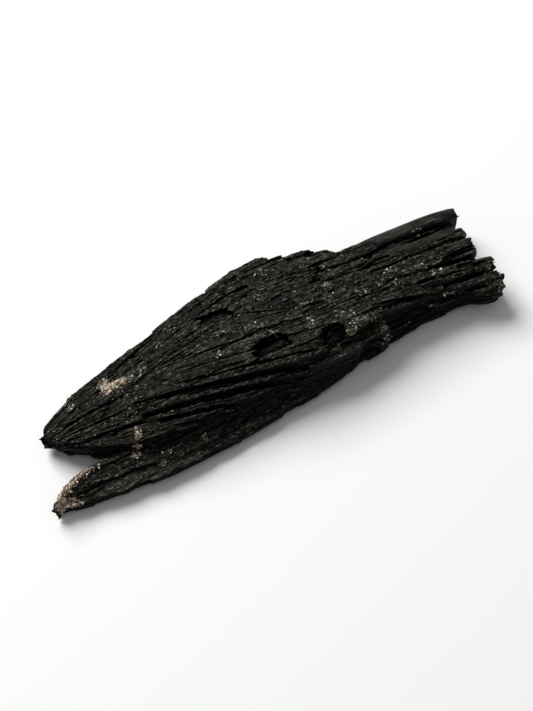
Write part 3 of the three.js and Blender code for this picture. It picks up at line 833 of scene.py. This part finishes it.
def thinned(obj, most):
    """Leaves at most this many triangles: crumbs go, and flat places get larger triangles."""
    bm = bmesh.new()
    bm.from_mesh(obj.data)
    crumbs = delete_crumbs(bm)
    bmesh.ops.triangulate(bm, faces=bm.faces[:])
    before = len(bm.faces)
    bm.to_mesh(obj.data)
    bm.free()
    thin_out = obj.modifiers.new("thin_out", "DECIMATE")
    thin_out.ratio = min(1, most / before)
    mesh = evaluated(obj, obj.name)
    obj.modifiers.clear()
    bm = bmesh.new()
    bm.from_mesh(mesh)
    bmesh.ops.holes_fill(bm, edges=[e for e in bm.edges if e.is_boundary], sides=0)
    bmesh.ops.triangulate(bm, faces=bm.faces[:])
    print(obj.name, "crumbs", crumbs, "triangles", before, "->", len(bm.faces), "open edges",
          sum(e.is_boundary for e in bm.edges), "edges with more than two faces",
          sum(len(e.link_faces) > 2 for e in bm.edges))
    bm.to_mesh(mesh)
    bm.free()
    obj.data = mesh


thinned(fan, FAN_TRIANGLES)
thinned(prong, PRONG_TRIANGLES)

# %% [markdown]
# ## What the material needs to know
#
# A pattern on plain object coordinates would run straight through the fan, but the grain of every blade
# follows its own crystal line. So each vertex keeps its place along and across the crystal lines, in
# millimetres, and how far it stands above or below the fan's general surface.

# %% Places, grain and hollows
HOLLOW_ROUNDS = 8  # how often the surface is smoothed before heights are measured against it


def vertex_places(mesh):
    places = np.empty(len(mesh.vertices) * 3, np.float32)
    mesh.vertices.foreach_get("co", places)
    return places.reshape(-1, 3).astype(float)


def share_across(x, y):
    """Which crystal line passes through a point: the inverse of line_y."""
    near, middle, far = along(NEAR_LINE, x), along(MIDDLE_LINE, x), along(FAR_LINE, x)
    on_near_half = 0.5 * (y - near) / (middle - near)
    on_far_half = 0.5 + 0.5 * (y - middle) / (far - middle)
    return np.where(y < middle, on_near_half, on_far_half)


def hollowness(mesh, places):
    """How far each vertex stands out of (above 0) or lies below (under 0) the surface around it, in mm."""
    edges = np.empty(len(mesh.edges) * 2, np.int32)
    mesh.edges.foreach_get("vertices", edges)
    a, b = edges.reshape(-1, 2).T
    count = np.bincount(a, minlength=len(places)) + np.bincount(b, minlength=len(places))
    even = places.copy()
    for _ in range(HOLLOW_ROUNDS):
        sums = [np.bincount(a, even[b, k], len(places)) + np.bincount(b, even[a, k], len(places))
                for k in range(3)]
        even = np.stack(sums, 1) / np.maximum(count, 1)[:, None]
    normals = np.empty(len(places) * 3, np.float32)
    mesh.vertices.foreach_get("normal", normals)
    return ((places - even) * normals.reshape(-1, 3)).sum(1)


print("the drawing's origin lies at", round(float(share_across(0, 0)), 2), "of the way across")

# %% Keep them on the meshes
def remember(mesh, name, kind, key, values):
    attribute = mesh.attributes.new(name, kind, "POINT")
    attribute.data.foreach_set(key, values.astype(np.float32).ravel())


def measure(obj, grain_y, surface, smooth):
    """Keeps the grain's place, the height against the general surface, the smooth skin and the hollows."""
    x, y, z = places = vertex_places(obj.data).T
    remember(obj.data, "grain", "FLOAT_VECTOR", "vector", np.stack([x, grain_y(x, y), z], 1))
    remember(obj.data, "relief", "FLOAT", "value", z - surface(x, y))
    remember(obj.data, "smooth_skin", "FLOAT", "value", smooth(x, y))
    hollow = hollowness(obj.data, places.T)
    remember(obj.data, "hollow", "FLOAT", "value", hollow)
    print(obj.name, "stands out by", np.percentile(hollow, (5, 50, 95)).round(2), "mm")


UNDER_EDGE, SHELF_DEPTH = 22, 5  # where the shelf goes under the near edge, and how far down it lies, in mm
PRONG_TURN = 0.05  # how much the prong's grain runs across it, in mm for each mm along


def prong_surface(x, y):
    """The general surface of the prong. On the shelf, the fan's own far above: painted shade for the shelf.
    """
    share = np.clip((y - along(PRONG_NEAR, x)) / (along(PRONG_FAR, x) - along(PRONG_NEAR, x)), 0, 1)
    return along(PRONG_TOP, share) + SHELF_DEPTH * (x > UNDER_EDGE)


def on_smooth_bars(x, y):
    """1 on the smooth bars, 0 elsewhere, with a short change between."""
    return np.clip((x - 28) / 3, 0, 1) * np.clip((share_across(x, y) - SMOOTH_FROM) / 0.03, 0, 1)


measure(fan, lambda x, y: share_across(x, y) * WIDEST, top_height, on_smooth_bars)
measure(prong, lambda x, y: y + PRONG_TURN * x, prong_surface, flat(0))

# %% [markdown]
# ## Into the frame
#
# The drawing has its own middle. Each finished mesh is moved so that the fan's box is centred on the
# frame, and scaled from millimetres to metres. The place goes into the mesh, and the object stays at the
# origin. Before that, a search tree of each skin is kept in the drawing's millimetres, to set grains on
# later.

# %% Move and scale
def place(obj):
    """Moves a finished mesh from the drawing in millimetres to the frame in metres."""
    to_middle = Matrix.Translation((-DRAWING_MIDDLE[0], -DRAWING_MIDDLE[1], 0))
    obj.data.transform(Matrix.Scale(MM, 4) @ to_middle)
    obj.data.shade_flat()


drawn = [BVHTree.FromObject(obj, bpy.context.evaluated_depsgraph_get()) for obj in (fan, prong)]
place(fan)
place(prong)
fan_length = np.ptp(vertex_places(fan.data)[:, 0]) / MM
print("the fan is", round(float(fan_length), 1), "mm long with its splinters")

# %% [markdown]
# ## Nodes and colours
#
# Materials are small networks of nodes. One function adds any node: its own settings first, then what
# comes in at each socket, which is a number, a colour or another node. Colours are written as the sRGB hex
# codes that a colour picker shows, and one function turns them into the linear values that the shader
# works with.

# %% Colours and nodes
def colour(code):
    """An sRGB hex colour as linear numbers."""
    parts = [int(code[i:i + 2], 16) / 255 for i in (0, 2, 4)]
    return (*[p / 12.92 if p <= 0.04045 else ((p + 0.055) / 1.055) ** 2.4 for p in parts], 1)


def add(tree, kind, settings=(), stops=(), **inputs):
    """Adds a node. settings are its own, stops a colour ramp's, and inputs are values, nodes or sockets.

    An input is named as its socket is, with _ for a space, and with a 2 for the second socket of that name.
    """
    node = tree.nodes.new(kind)
    for name, value in dict(settings).items():
        setattr(node, name, value)
    for i, (position, code) in enumerate(stops):
        element = node.color_ramp.elements[i] if i < 2 else node.color_ramp.elements.new(position)
        element.position, element.color = position, colour(code)
    for name, value in inputs.items():
        sockets = [s for s in node.inputs if s.enabled and s.name == name.rstrip("2").replace("_", " ")]
        socket = sockets[name[-1] == "2"]
        if isinstance(value, bpy.types.Node):
            value = next(s for s in value.outputs if s.enabled)
        if isinstance(value, bpy.types.NodeSocket):
            tree.links.new(value, socket)
        else:
            socket.default_value = value
    return node


def new_material(name, **look):
    """A material with one principled shader, and these values on the shader's own sockets."""
    material = bpy.data.materials.new(name)
    material.use_nodes = True
    tree = material.node_tree
    tree.nodes.clear()
    shader = add(tree, "ShaderNodeBsdfPrincipled", **look)
    add(tree, "ShaderNodeOutputMaterial", Surface=shader)
    return material, tree, shader


print("mid grey 808080 is", round(colour("808080")[0], 3), "in linear light")

# %% [markdown]
# ## Black kyanite
#
# Kyanite is a glassy silicate, here black with graphite. A clean face is nearly black with a faint shine.
# Most faces that look up carry a grey-green veil: partly fine mica and dust, and partly painted light, as
# the lamp falls on them, while grooves and deep places are left black as painted shade. So the veil goes
# by three things that the mesh knows: which way it faces, whether it stands out of its surroundings, and
# how far it lies under the general surface. The mottling runs along the crystals, because it reads the
# grain attribute. A noise stretched fifteen to one gives the striations, and thin dark lines of painted
# shade show where the leaves have parted. The grain and the place are in millimetres, so each pattern's
# scale is in features a millimetre.

# %% What the pattern reads
# Along the grain, across it and up, in features a millimetre:
STREAKS = (0.22, 2.4, 1.6)  # 4.5 mm long and 0.4 mm wide, as one strip of a blade
FLECKS = (1.2, 2.6, 2.6)  # patches of mica dust, 0.8 mm long and 0.4 mm wide
LEAF_LINES = (0.14, 1.7, 0.9)  # 7 mm long, one every 0.6 mm or so
STRIATIONS = (0.4, 6.0, 4.0)  # 2.5 mm long and 0.17 mm wide, which is as fine as can show
CLOUDS, PAINTED_GLINTS, GRIT = 0.3, 1.7, 3.0  # even in all directions: 3 mm, 0.6 mm and 0.3 mm

# Kyanite, index of refraction 1.72, broken along its cleavage: many tiny steps make it satin, and the dust
# on it leaves no clear shine.
kyanite, tree, shader = new_material("black_kyanite_striated", Roughness=0.5, Specular_IOR_Level=0.05,
                                     IOR=1.72)
grain = add(tree, "ShaderNodeAttribute", {"attribute_name": "grain"}).outputs["Vector"]
hollow, relief, smooth_skin = [add(tree, "ShaderNodeAttribute", {"attribute_name": name}).outputs["Fac"]
                               for name in ("hollow", "relief", "smooth_skin")]
place_mm = add(tree, "ShaderNodeMapping", Scale=(1000, 1000, 1000),
               Vector=add(tree, "ShaderNodeTexCoord").outputs["Object"])
facing = add(tree, "ShaderNodeSeparateXYZ", Vector=add(tree, "ShaderNodeNewGeometry").outputs["Normal"])
print("so far", len(tree.nodes), "nodes")

# %% Where the veil of dust and painted light lies
# It is full on faces within 23 degrees of level that stand out by 0.13 mm. It is gone at 66 degrees, or
# 0.11 mm below the surroundings, and 3.5 mm below the general surface a quarter of it is left.
# Dust and painted light together: faces that look up to the lamp are painted lighter, and walls, grooves
# and deep places stay black as painted shade.
looks_up = add(tree, "ShaderNodeMapRange", Value=facing.outputs["Z"], From_Min=0.4, From_Max=0.92)
stands_out = add(tree, "ShaderNodeMapRange", Value=hollow, From_Min=-0.11, From_Max=0.13)
near_top = add(tree, "ShaderNodeMapRange", Value=relief, From_Min=-3.5, From_Max=-0.6, To_Min=0.25)
dust_and_light_mask = add(tree, "ShaderNodeMath", {"operation": "MULTIPLY"}, Value=looks_up, Value2=stands_out)
dust_and_light_mask = add(tree, "ShaderNodeMath", {"operation": "MULTIPLY"}, Value=dust_and_light_mask, Value2=near_top)
print("with the veil", len(tree.nodes), "nodes")

# %% Streaks along the crystals, flecks of mica and broad clouds
streaks = add(tree, "ShaderNodeTexNoise", Scale=1.0, Detail=4.0, Roughness=0.6,
              Vector=add(tree, "ShaderNodeMapping", Scale=STREAKS, Vector=grain))
flecks = add(tree, "ShaderNodeTexNoise", Scale=1.0, Detail=4.0, Roughness=0.75,
             Vector=add(tree, "ShaderNodeMapping", Scale=FLECKS, Vector=grain))
clouds = add(tree, "ShaderNodeTexNoise", Scale=CLOUDS, Detail=2.0, Roughness=0.6, Vector=place_mm)
stone = add(tree, "ShaderNodeValToRGB", Fac=streaks,
            stops=[(0.3, "000000"), (0.55, "030302"), (0.8, "0A0A09")])
# The veil's greys are partly mica dust and partly painted light: brighter than the clean stone because they
# stand for tops that the lamp lights.
dust_and_light_stops = [(0.37, "070806"), (0.46, "1F201A"), (0.54, "393A32"), (0.61, "5D5E53"), (0.7, "959689")]
dust_and_light_colour = add(tree, "ShaderNodeValToRGB", Fac=flecks, stops=dust_and_light_stops)
# The smooth skin's greys show only on tops under the painted light, and stand in partly for the skin's soft
# sheen.
skin = add(tree, "ShaderNodeValToRGB", Fac=streaks,
           stops=[(0.35, "1A1B17"), (0.55, "30322C"), (0.75, "4C4E47")])
surface = add(tree, "ShaderNodeMix", {"data_type": "RGBA"}, Factor=smooth_skin, A=dust_and_light_colour, B=skin)
patchy = add(tree, "ShaderNodeMapRange", Value=clouds, From_Min=0.3, From_Max=0.6, To_Min=0.5)
# Where the mask of dust and painted light lies, the black stone gives way to these lighter colours.
dust_and_light_cover = add(tree, "ShaderNodeMath", {"operation": "MULTIPLY"}, Value=dust_and_light_mask, Value2=patchy)
surface = add(tree, "ShaderNodeMix", {"data_type": "RGBA"}, Factor=dust_and_light_cover, A=stone, B=surface)
print("with the colours", len(tree.nodes), "nodes")

# %% Dark lines between the leaves: painted shade in their partings
# A line is where this noise passes through its middle value.
leaves = add(tree, "ShaderNodeTexNoise", Scale=1.0, Detail=3.0, Roughness=0.5,
             Vector=add(tree, "ShaderNodeMapping", Scale=LEAF_LINES, Vector=grain))
off_line = add(tree, "ShaderNodeMath", {"operation": "SUBTRACT"}, Value=leaves, Value2=0.5)
off_line = add(tree, "ShaderNodeMath", {"operation": "ABSOLUTE"}, Value=off_line)
# Painted shade: each parting is drawn as a near-black line in the colour.
parting_shade = add(tree, "ShaderNodeMapRange", Value=off_line, From_Min=0.01, From_Max=0.034, To_Min=0.92,
             To_Max=0.0)
surface = add(tree, "ShaderNodeMix", {"data_type": "RGBA"}, Factor=parting_shade, A=surface, B=colour("040403"))
print("with the dark lines", len(tree.nodes), "nodes")

# %% Painted glints of mica and the fine relief
# Pale specks in the colour: partly pale mica, and partly painted glints, as they show only where the
# painted light lies.
painted_glint = add(tree, "ShaderNodeTexNoise", Scale=PAINTED_GLINTS, Detail=4.0, Roughness=0.8, Vector=place_mm)
painted_glint = add(tree, "ShaderNodeMapRange", Value=painted_glint, From_Min=0.66, From_Max=0.74)
painted_glint = add(tree, "ShaderNodeMath", {"operation": "MULTIPLY"}, Value=painted_glint, Value2=dust_and_light_cover)
dull = add(tree, "ShaderNodeMapRange", Value=smooth_skin, To_Min=1.0, To_Max=0.0)
painted_glint = add(tree, "ShaderNodeMath", {"operation": "MULTIPLY"}, Value=painted_glint, Value2=dull)
surface = add(tree, "ShaderNodeMix", {"data_type": "RGBA"}, Factor=painted_glint, A=surface, B=colour("A9AAA0"))
tree.links.new(next(s for s in surface.outputs if s.enabled), shader.inputs["Base Color"])
striations = add(tree, "ShaderNodeTexNoise", Scale=1.0, Detail=3.0, Roughness=0.6,
                 Vector=add(tree, "ShaderNodeMapping", Scale=STRIATIONS, Vector=grain))
grit = add(tree, "ShaderNodeTexNoise", Scale=GRIT, Detail=4.0, Roughness=0.75, Vector=place_mm)
heights = add(tree, "ShaderNodeMix", {"data_type": "FLOAT"}, Factor=0.4, A=striations, B=grit)
bump = add(tree, "ShaderNodeBump", Height=heights, Distance=0.0003, Strength=1.0)
tree.links.new(bump.outputs[0], shader.inputs["Normal"])
print("black kyanite has", len(tree.nodes), "nodes")

# %% [markdown]
# ## On the body
#
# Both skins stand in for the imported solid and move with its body. The fan is a loose natural thing with
# nothing that turns or slides, so everything rides on the one body, the root.

# %% Ride
for obj in (fan, prong):
    obj.data.name = obj.name
    obj.data.materials.clear()
    obj.data.materials.append(kyanite)
    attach(obj, "root")
    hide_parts("kyanite_fan")
print("skins:", [obj.name for obj in (fan, prong)])

# %% [markdown]
# ## Crust and mica
#
# The rock that the fan grew in was mica schist. A pinkish crust of it still sticks to the root and the end
# of the prong, with smaller crumbs in the breaks, and single mica flakes glint all over. Grains and flakes
# are small closed shapes joined into one mesh each. Each is dropped on the nearest spot of the finished
# blades.

# %% Scattering small shapes
def scatter(name, shape, spots, sizes, thickness, spread):
    """Copies of a small shape, set on the blades near these spots: one mesh, and a random tint for each.

    sizes are the least and the most, in mm, and most copies are small. spread is how far they lean.
    """
    mesh, unit = shape
    unit = unit - unit.mean(0)
    bm = bmesh.new()
    points = []
    for spot in spots:
        hits = [skin.find_nearest(Vector(spot)) for skin in drawn]
        found, normal, _, _ = min(hits, key=lambda hit: hit[3])
        lean = (normal + Vector(rng.normal(0, spread, 3))).normalized()
        turn = lean.to_track_quat("Z", "Y").to_matrix() @ Matrix.Rotation(rng.uniform(0, 6.3), 3, "Z")
        size = sizes[0] + (sizes[1] - sizes[0]) * rng.uniform(0, 1) ** 3
        uneven = unit * rng.uniform(0.75, 1.25, unit.shape)
        shaped = uneven * (size, size * rng.uniform(0.6, 1), size * thickness)
        raised = np.array(normal) * size * thickness * 0.2
        points.append(shaped @ np.array(turn).T + np.array(found) + raised)
        bm.from_mesh(mesh)
    whole = bpy.data.meshes.new(name)
    bm.to_mesh(whole)
    bm.free()
    whole.vertices.foreach_set("co", np.concatenate(points).astype(np.float32).ravel())
    tint = whole.attributes.new("tint", "FLOAT", "POINT")
    tint.data.foreach_set("value", np.repeat(rng.uniform(0, 1, len(spots)), len(unit)).astype(np.float32))
    obj = bpy.data.objects.new(name, whole)
    bpy.context.scene.collection.objects.link(obj)
    place(obj)
    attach(obj, "root")
    print(name, "has", len(spots), "pieces and", len(whole.polygons), "faces")
    return obj


def grain_shape():
    """A round grain of 20 faces, and its points."""
    bm = bmesh.new()
    bmesh.ops.create_icosphere(bm, subdivisions=1, radius=0.5)
    mesh = bpy.data.meshes.new("grain")
    bm.to_mesh(mesh)
    bm.free()
    return mesh, np.array([v.co for v in mesh.vertices])


print("a flake has", len(blank(1, 1, 1)[0].polygons), "faces, as the cube it is made from")

# %% Crust
# Where crust sticks to the fan: centre, how far it reaches along, across and up, and how many grains.
PINK_CRUST = [
    ((-30.2, 9.4, 7.4), (0.5, 0.7, 0.3), 260), ((-29.6, 8.2, 7.7), (0.7, 0.4, 0.3), 340),
    ((-28.2, 8.2, 7.9), (0.7, 0.4, 0.3), 280), ((-27, 7.6, 8.3), (0.5, 0.5, 0.3), 200),
    ((-30.5, 7.4, 7.7), (0.4, 0.3, 0.2), 50), ((-37.6, 8.6, 6.1), (0.5, 0.4, 0.2), 40),
    ((-29.5, -2.7, 7.8), (0.3, 0.5, 0.2), 50), ((-29.9, -3.6, 7.6), (0.3, 0.4, 0.2), 36),
    ((-30.6, -4.6, 5.8), (0.5, 0.3, 0.3), 64), ((-31.7, -5.6, 4.6), (0.6, 0.3, 0.2), 36),
    ((-48.8, -7.6, 3.6), (0.3, 0.4, 0.8), 200), ((-47.9, -6.5, 4.1), (0.4, 0.4, 0.5), 230),
    ((-46.6, -5.6, 5), (0.6, 0.3, 0.4), 190), ((-45, -4.8, 5), (0.8, 0.3, 0.3), 150),
    ((-43.1, -4.2, 4.8), (0.9, 0.25, 0.3), 130), ((-41, -3.7, 4.8), (1, 0.25, 0.3), 100),
    ((-46.7, -7.6, 3.7), (0.7, 0.35, 0.3), 120), ((-45.9, -8.3, 3.3), (0.8, 0.3, 0.3), 80),
    ((22.4, -7.2, 7.2), (0.5, 0.5, 0.8), 60), ((34.3, -6.4, 5.2), (0.7, 0.4, 0.4), 60),
    ((26.5, -5.8, 3), (0.8, 0.4, 0.4), 24),
]
PALE_CRUST = [
    ((-24.9, 7.1, 8.8), (1, 0.5, 0.2), 90), ((-23, 7.9, 8.6), (0.8, 0.4, 0.2), 60),
    ((-27.8, 5.8, 8.4), (0.5, 0.5, 0.2), 30), ((-25.9, -7.8, 4.1), (0.6, 0.3, 0.3), 40),
    ((-27.7, -9.1, 3.6), (0.5, 0.3, 0.3), 30), ((-18.5, -8.6, 4), (0.4, 0.5, 0.3), 40),
    ((-0.7, 4.7, 10.9), (0.9, 0.25, 0.2), 34), ((1.1, 3.5, 11.4), (0.5, 0.3, 0.2), 24),
    ((9.7, 0.4, 11.2), (0.5, 0.4, 0.2), 60), ((9.1, -1.2, 11.4), (0.6, 0.4, 0.2), 50),
    ((9.6, 3.7, 10.4), (0.6, 0.3, 0.2), 30), ((11.6, 3.9, 10.3), (0.8, 0.3, 0.2), 36),
    ((16.2, 5.3, 10.4), (1, 0.4, 0.2), 44), ((15.6, 2.4, 10.8), (0.5, 0.8, 0.2), 60),
    ((16, -3.2, 11.1), (0.7, 0.4, 0.3), 60), ((17.6, -4.3, 10.5), (0.7, 0.5, 0.4), 110),
    ((15.5, -5.2, 10.6), (0.5, 0.5, 0.4), 90), ((15.5, -6.5, 10.3), (0.6, 0.4, 0.3), 60),
    ((19.6, -5, 10.7), (1.2, 0.5, 0.3), 60), ((21.8, -7.1, 8.7), (0.6, 0.5, 0.5), 60),
    ((21.2, -9.1, 6.9), (0.8, 0.4, 0.5), 40), ((26.5, 0.8, 10.5), (0.9, 0.3, 0.2), 44),
    ((28.6, -1, 10.4), (0.5, 0.5, 0.2), 36), ((37.2, -6.7, 7.4), (0.9, 0.3, 0.3), 44),
    ((47, 0.6, 7.1), (0.3, 0.6, 0.7), 60), ((47.3, -1.3, 6), (0.3, 0.5, 0.7), 50),
    ((47, -9.6, 6.4), (0.5, 0.6, 0.8), 90), ((46.8, -5.6, 7.6), (0.5, 0.8, 0.5), 60),
    ((-17, 11.3, 8.1), (0.6, 0.3, 0.2), 26), ((2.1, 1, 11.2), (0.4, 0.3, 0.2), 20),
    ((-28.4, 2.3, 9), (0.6, 1, 0.2), 40), ((19.3, 9.8, 8.7), (0.4, 0.4, 0.2), 20),
    ((16.6, 13.2, 8.8), (0.7, 0.4, 0.2), 24), ((7.6, 15.4, 8.6), (0.8, 0.4, 0.2), 24),
    ((4.2, 9.7, 10.1), (0.5, 0.5, 0.2), 24), ((-6.2, 6.6, 10.5), (0.6, 0.4, 0.2), 30),
    ((-8.9, 2.1, 11.2), (0.8, 0.4, 0.2), 36), ((28.9, 2.5, 10.8), (0.6, 0.4, 0.2), 30),
    ((34.9, 0.3, 10.2), (0.9, 0.6, 0.2), 40), ((37, -2.6, 9.9), (0.9, 0.5, 0.2), 44),
    ((39, 8.2, 8.8), (0.6, 0.3, 0.1), 20), ((21.7, 0.6, 11.3), (0.9, 0.6, 0.2), 40),
    ((15.6, -1.3, 11.4), (0.8, 0.5, 0.2), 36),
]


def patches(places, share):
    """Random spots around each place: this share of the number of grains that it lists."""
    return [rng.normal(centre, reach) for centre, reach, count in places
            for _ in range(round(count * share))]


crust = scatter("mica_crust_grains", grain_shape(), patches(PINK_CRUST, 1.3), (0.18, 0.6), 0.8, 0.5)
sugar = scatter("mica_sugar_grains", blank(1, 1, 1), patches(PALE_CRUST, 1.0), (0.1, 0.45), 0.5, 0.7)

# %% Flakes
CLUSTERS = 330  # each with 1 to 20 flakes or so, most with a few
PRONG_FLAKES = 160
spots = []
for _ in range(CLUSTERS):
    across, x = rng.uniform(0.02, 0.98), rng.uniform(-43, 48)
    if x > 27 and across > SMOOTH_FROM - 0.03:
        continue
    for _ in range(int(rng.exponential(6)) + 1):
        x1 = x + rng.normal(0, 0.9)
        y1 = float(line_y(x1, across)) + rng.normal(0, 0.35)
        spots.append((x1, y1, float(top_height(x1, y1)) + 0.2))
for _ in range(PRONG_FLAKES):
    x1 = rng.uniform(-48, 4)
    share = rng.uniform(0.1, 1)
    spots.append((x1, float(between(PRONG_NEAR, PRONG_FAR, share)(x1)), float(along(PRONG_TOP, share))))
flakes = scatter("mica_flakes", blank(1, 1, 1), spots, (0.06, 0.26), 0.2, 0.35)

# %% [markdown]
# ## Crust and mica materials
#
# Each grain or flake has a random tint, kept in an attribute, so a single material gives a whole heap of
# differing grains. A ramp turns the tint into colours from the darkest grain to the palest, and a fine
# noise makes each grain uneven.

# %% Three heaps of grains
GRAIN_NOISE = 6000.0  # features a metre, so about 0.17 mm each


def grainy(obj, name, stops, **look):
    """Gives the scattered shapes a material whose colour goes by their tint."""
    material, tree, shader = new_material(name, **look)
    tint = add(tree, "ShaderNodeAttribute", {"attribute_name": "tint"})
    grit = add(tree, "ShaderNodeTexNoise", Scale=GRAIN_NOISE, Detail=2.0,
               Vector=add(tree, "ShaderNodeTexCoord").outputs["Object"])
    uneven = add(tree, "ShaderNodeMapRange", Value=grit, From_Min=0.3, From_Max=0.7, To_Min=-0.12,
                 To_Max=0.12)
    mixed = add(tree, "ShaderNodeMath", {"operation": "ADD"}, Value=tint.outputs["Fac"], Value2=uneven)
    tinted = add(tree, "ShaderNodeValToRGB", Fac=mixed, stops=stops)
    tree.links.new(tinted.outputs["Color"], shader.inputs["Base Color"])
    obj.data.materials.append(material)
    print(obj.name, "is", material.name)


# Weathered mica schist: pinkish brown where iron has stained it, dull as dry earth.
grainy(crust, "mica_schist_crust", [(0, "3E2F23"), (0.25, "6A5A4B"), (0.6, "91826F"), (0.92, "CDC2AF")],
       Roughness=0.6, Specular_IOR_Level=0.3)
# Feldspar and quartz in grains like sugar: pale grey-green, with a little glassy shine.
grainy(sugar, "feldspar_sugar", [(0, "2E2D20"), (0.4, "4F4F40"), (0.75, "7B7B6A"), (0.97, "B9B9A8")],
       Roughness=0.5, Specular_IOR_Level=0.3)
# Muscovite, a silvery mica that splits into thin flakes: they flash where they lie flat to the light.
grainy(flakes, "muscovite_flakes", [(0, "35362D"), (0.5, "57584C"), (0.95, "A3A497")],
       Roughness=0.35, Specular_IOR_Level=0.5)

# %% [markdown]
# ## Floor, light and camera
#
# Dark satin stone shows its relief only where light grazes it. One large soft light stands low behind the
# far edge, so that every step and groove draws a line, and a weak light overhead and pale surroundings
# keep the shadows open. The camera looks down from in front of the near edge, with a long lens.

# %% Floor
FLOOR_HALF = 3  # metres
FLOOR_DROP = 0.00002  # just clear of the flat spots that rest on it


def add_to_scene(name, data):
    obj = bpy.data.objects.new(name, data)
    bpy.context.scene.collection.objects.link(obj)
    return obj


bm = bmesh.new()
bmesh.ops.create_grid(bm, x_segments=1, y_segments=1, size=FLOOR_HALF)
bmesh.ops.translate(bm, verts=bm.verts, vec=(0, 0, -FLOOR_DROP))
mesh = bpy.data.meshes.new("floor")
bm.to_mesh(mesh)
bm.free()
floor = add_to_scene("floor", mesh)
# Uncoated paper: matt and even.
paper, _, _ = new_material("floor_white_paper", Base_Color=colour("E2E2E1"), Roughness=0.9,
                           Specular_IOR_Level=0.1)
mesh.materials.append(paper)
print("the floor is", 2 * FLOOR_HALF, "m wide")

# %% Light
WINDOW_WATTS, CEILING_WATTS = 12.5, 1
SURROUNDINGS = 0.26  # how bright the white world around the fan is


def area_light(name, direction, distance, size, watts):
    """A soft square light that stands in this direction from the fan and faces it."""
    light = bpy.data.lights.new(name, "AREA")
    light.shape, light.size, light.energy = "SQUARE", size, watts
    obj = add_to_scene(name, light)
    obj.location = Vector(direction).normalized() * distance
    obj.rotation_euler = (-obj.location).to_track_quat("-Z", "Y").to_euler()


area_light("window", (-0.2, 0.7, 0.75), 0.9, 0.55, WINDOW_WATTS)
area_light("ceiling", (0.1, -0.1, 1), 1.1, 1.0, CEILING_WATTS)
world = bpy.data.worlds.new("studio")
world.use_nodes = True
background = world.node_tree.nodes["Background"]
background.inputs["Color"].default_value = colour("FFFFFF")
background.inputs["Strength"].default_value = SURROUNDINGS
bpy.context.scene.world = world
bpy.context.scene.view_settings.view_transform = "Standard"

# %% Camera
AZIMUTH, ELEVATION, DISTANCE = math.radians(-30.5), math.radians(60), 0.36
AIM_HEIGHT = 0.006  # half the fan's height
LENS = 94.8
aim = Vector((-DRAWING_MIDDLE[0] * MM, -DRAWING_MIDDLE[1] * MM, AIM_HEIGHT))
back = Vector((math.sin(AZIMUTH) * math.cos(ELEVATION), -math.cos(AZIMUTH) * math.cos(ELEVATION),
               math.sin(ELEVATION)))
camera = add_to_scene("camera", bpy.data.cameras.new("camera"))
camera.data.lens = LENS
camera.data.clip_start = 0.01
camera.location = aim + back * DISTANCE
camera.rotation_euler = back.to_track_quat("Z", "Y").to_euler()
bpy.context.scene.camera = camera
print("the camera stands", round(camera.location.z, 3), "m above the floor")
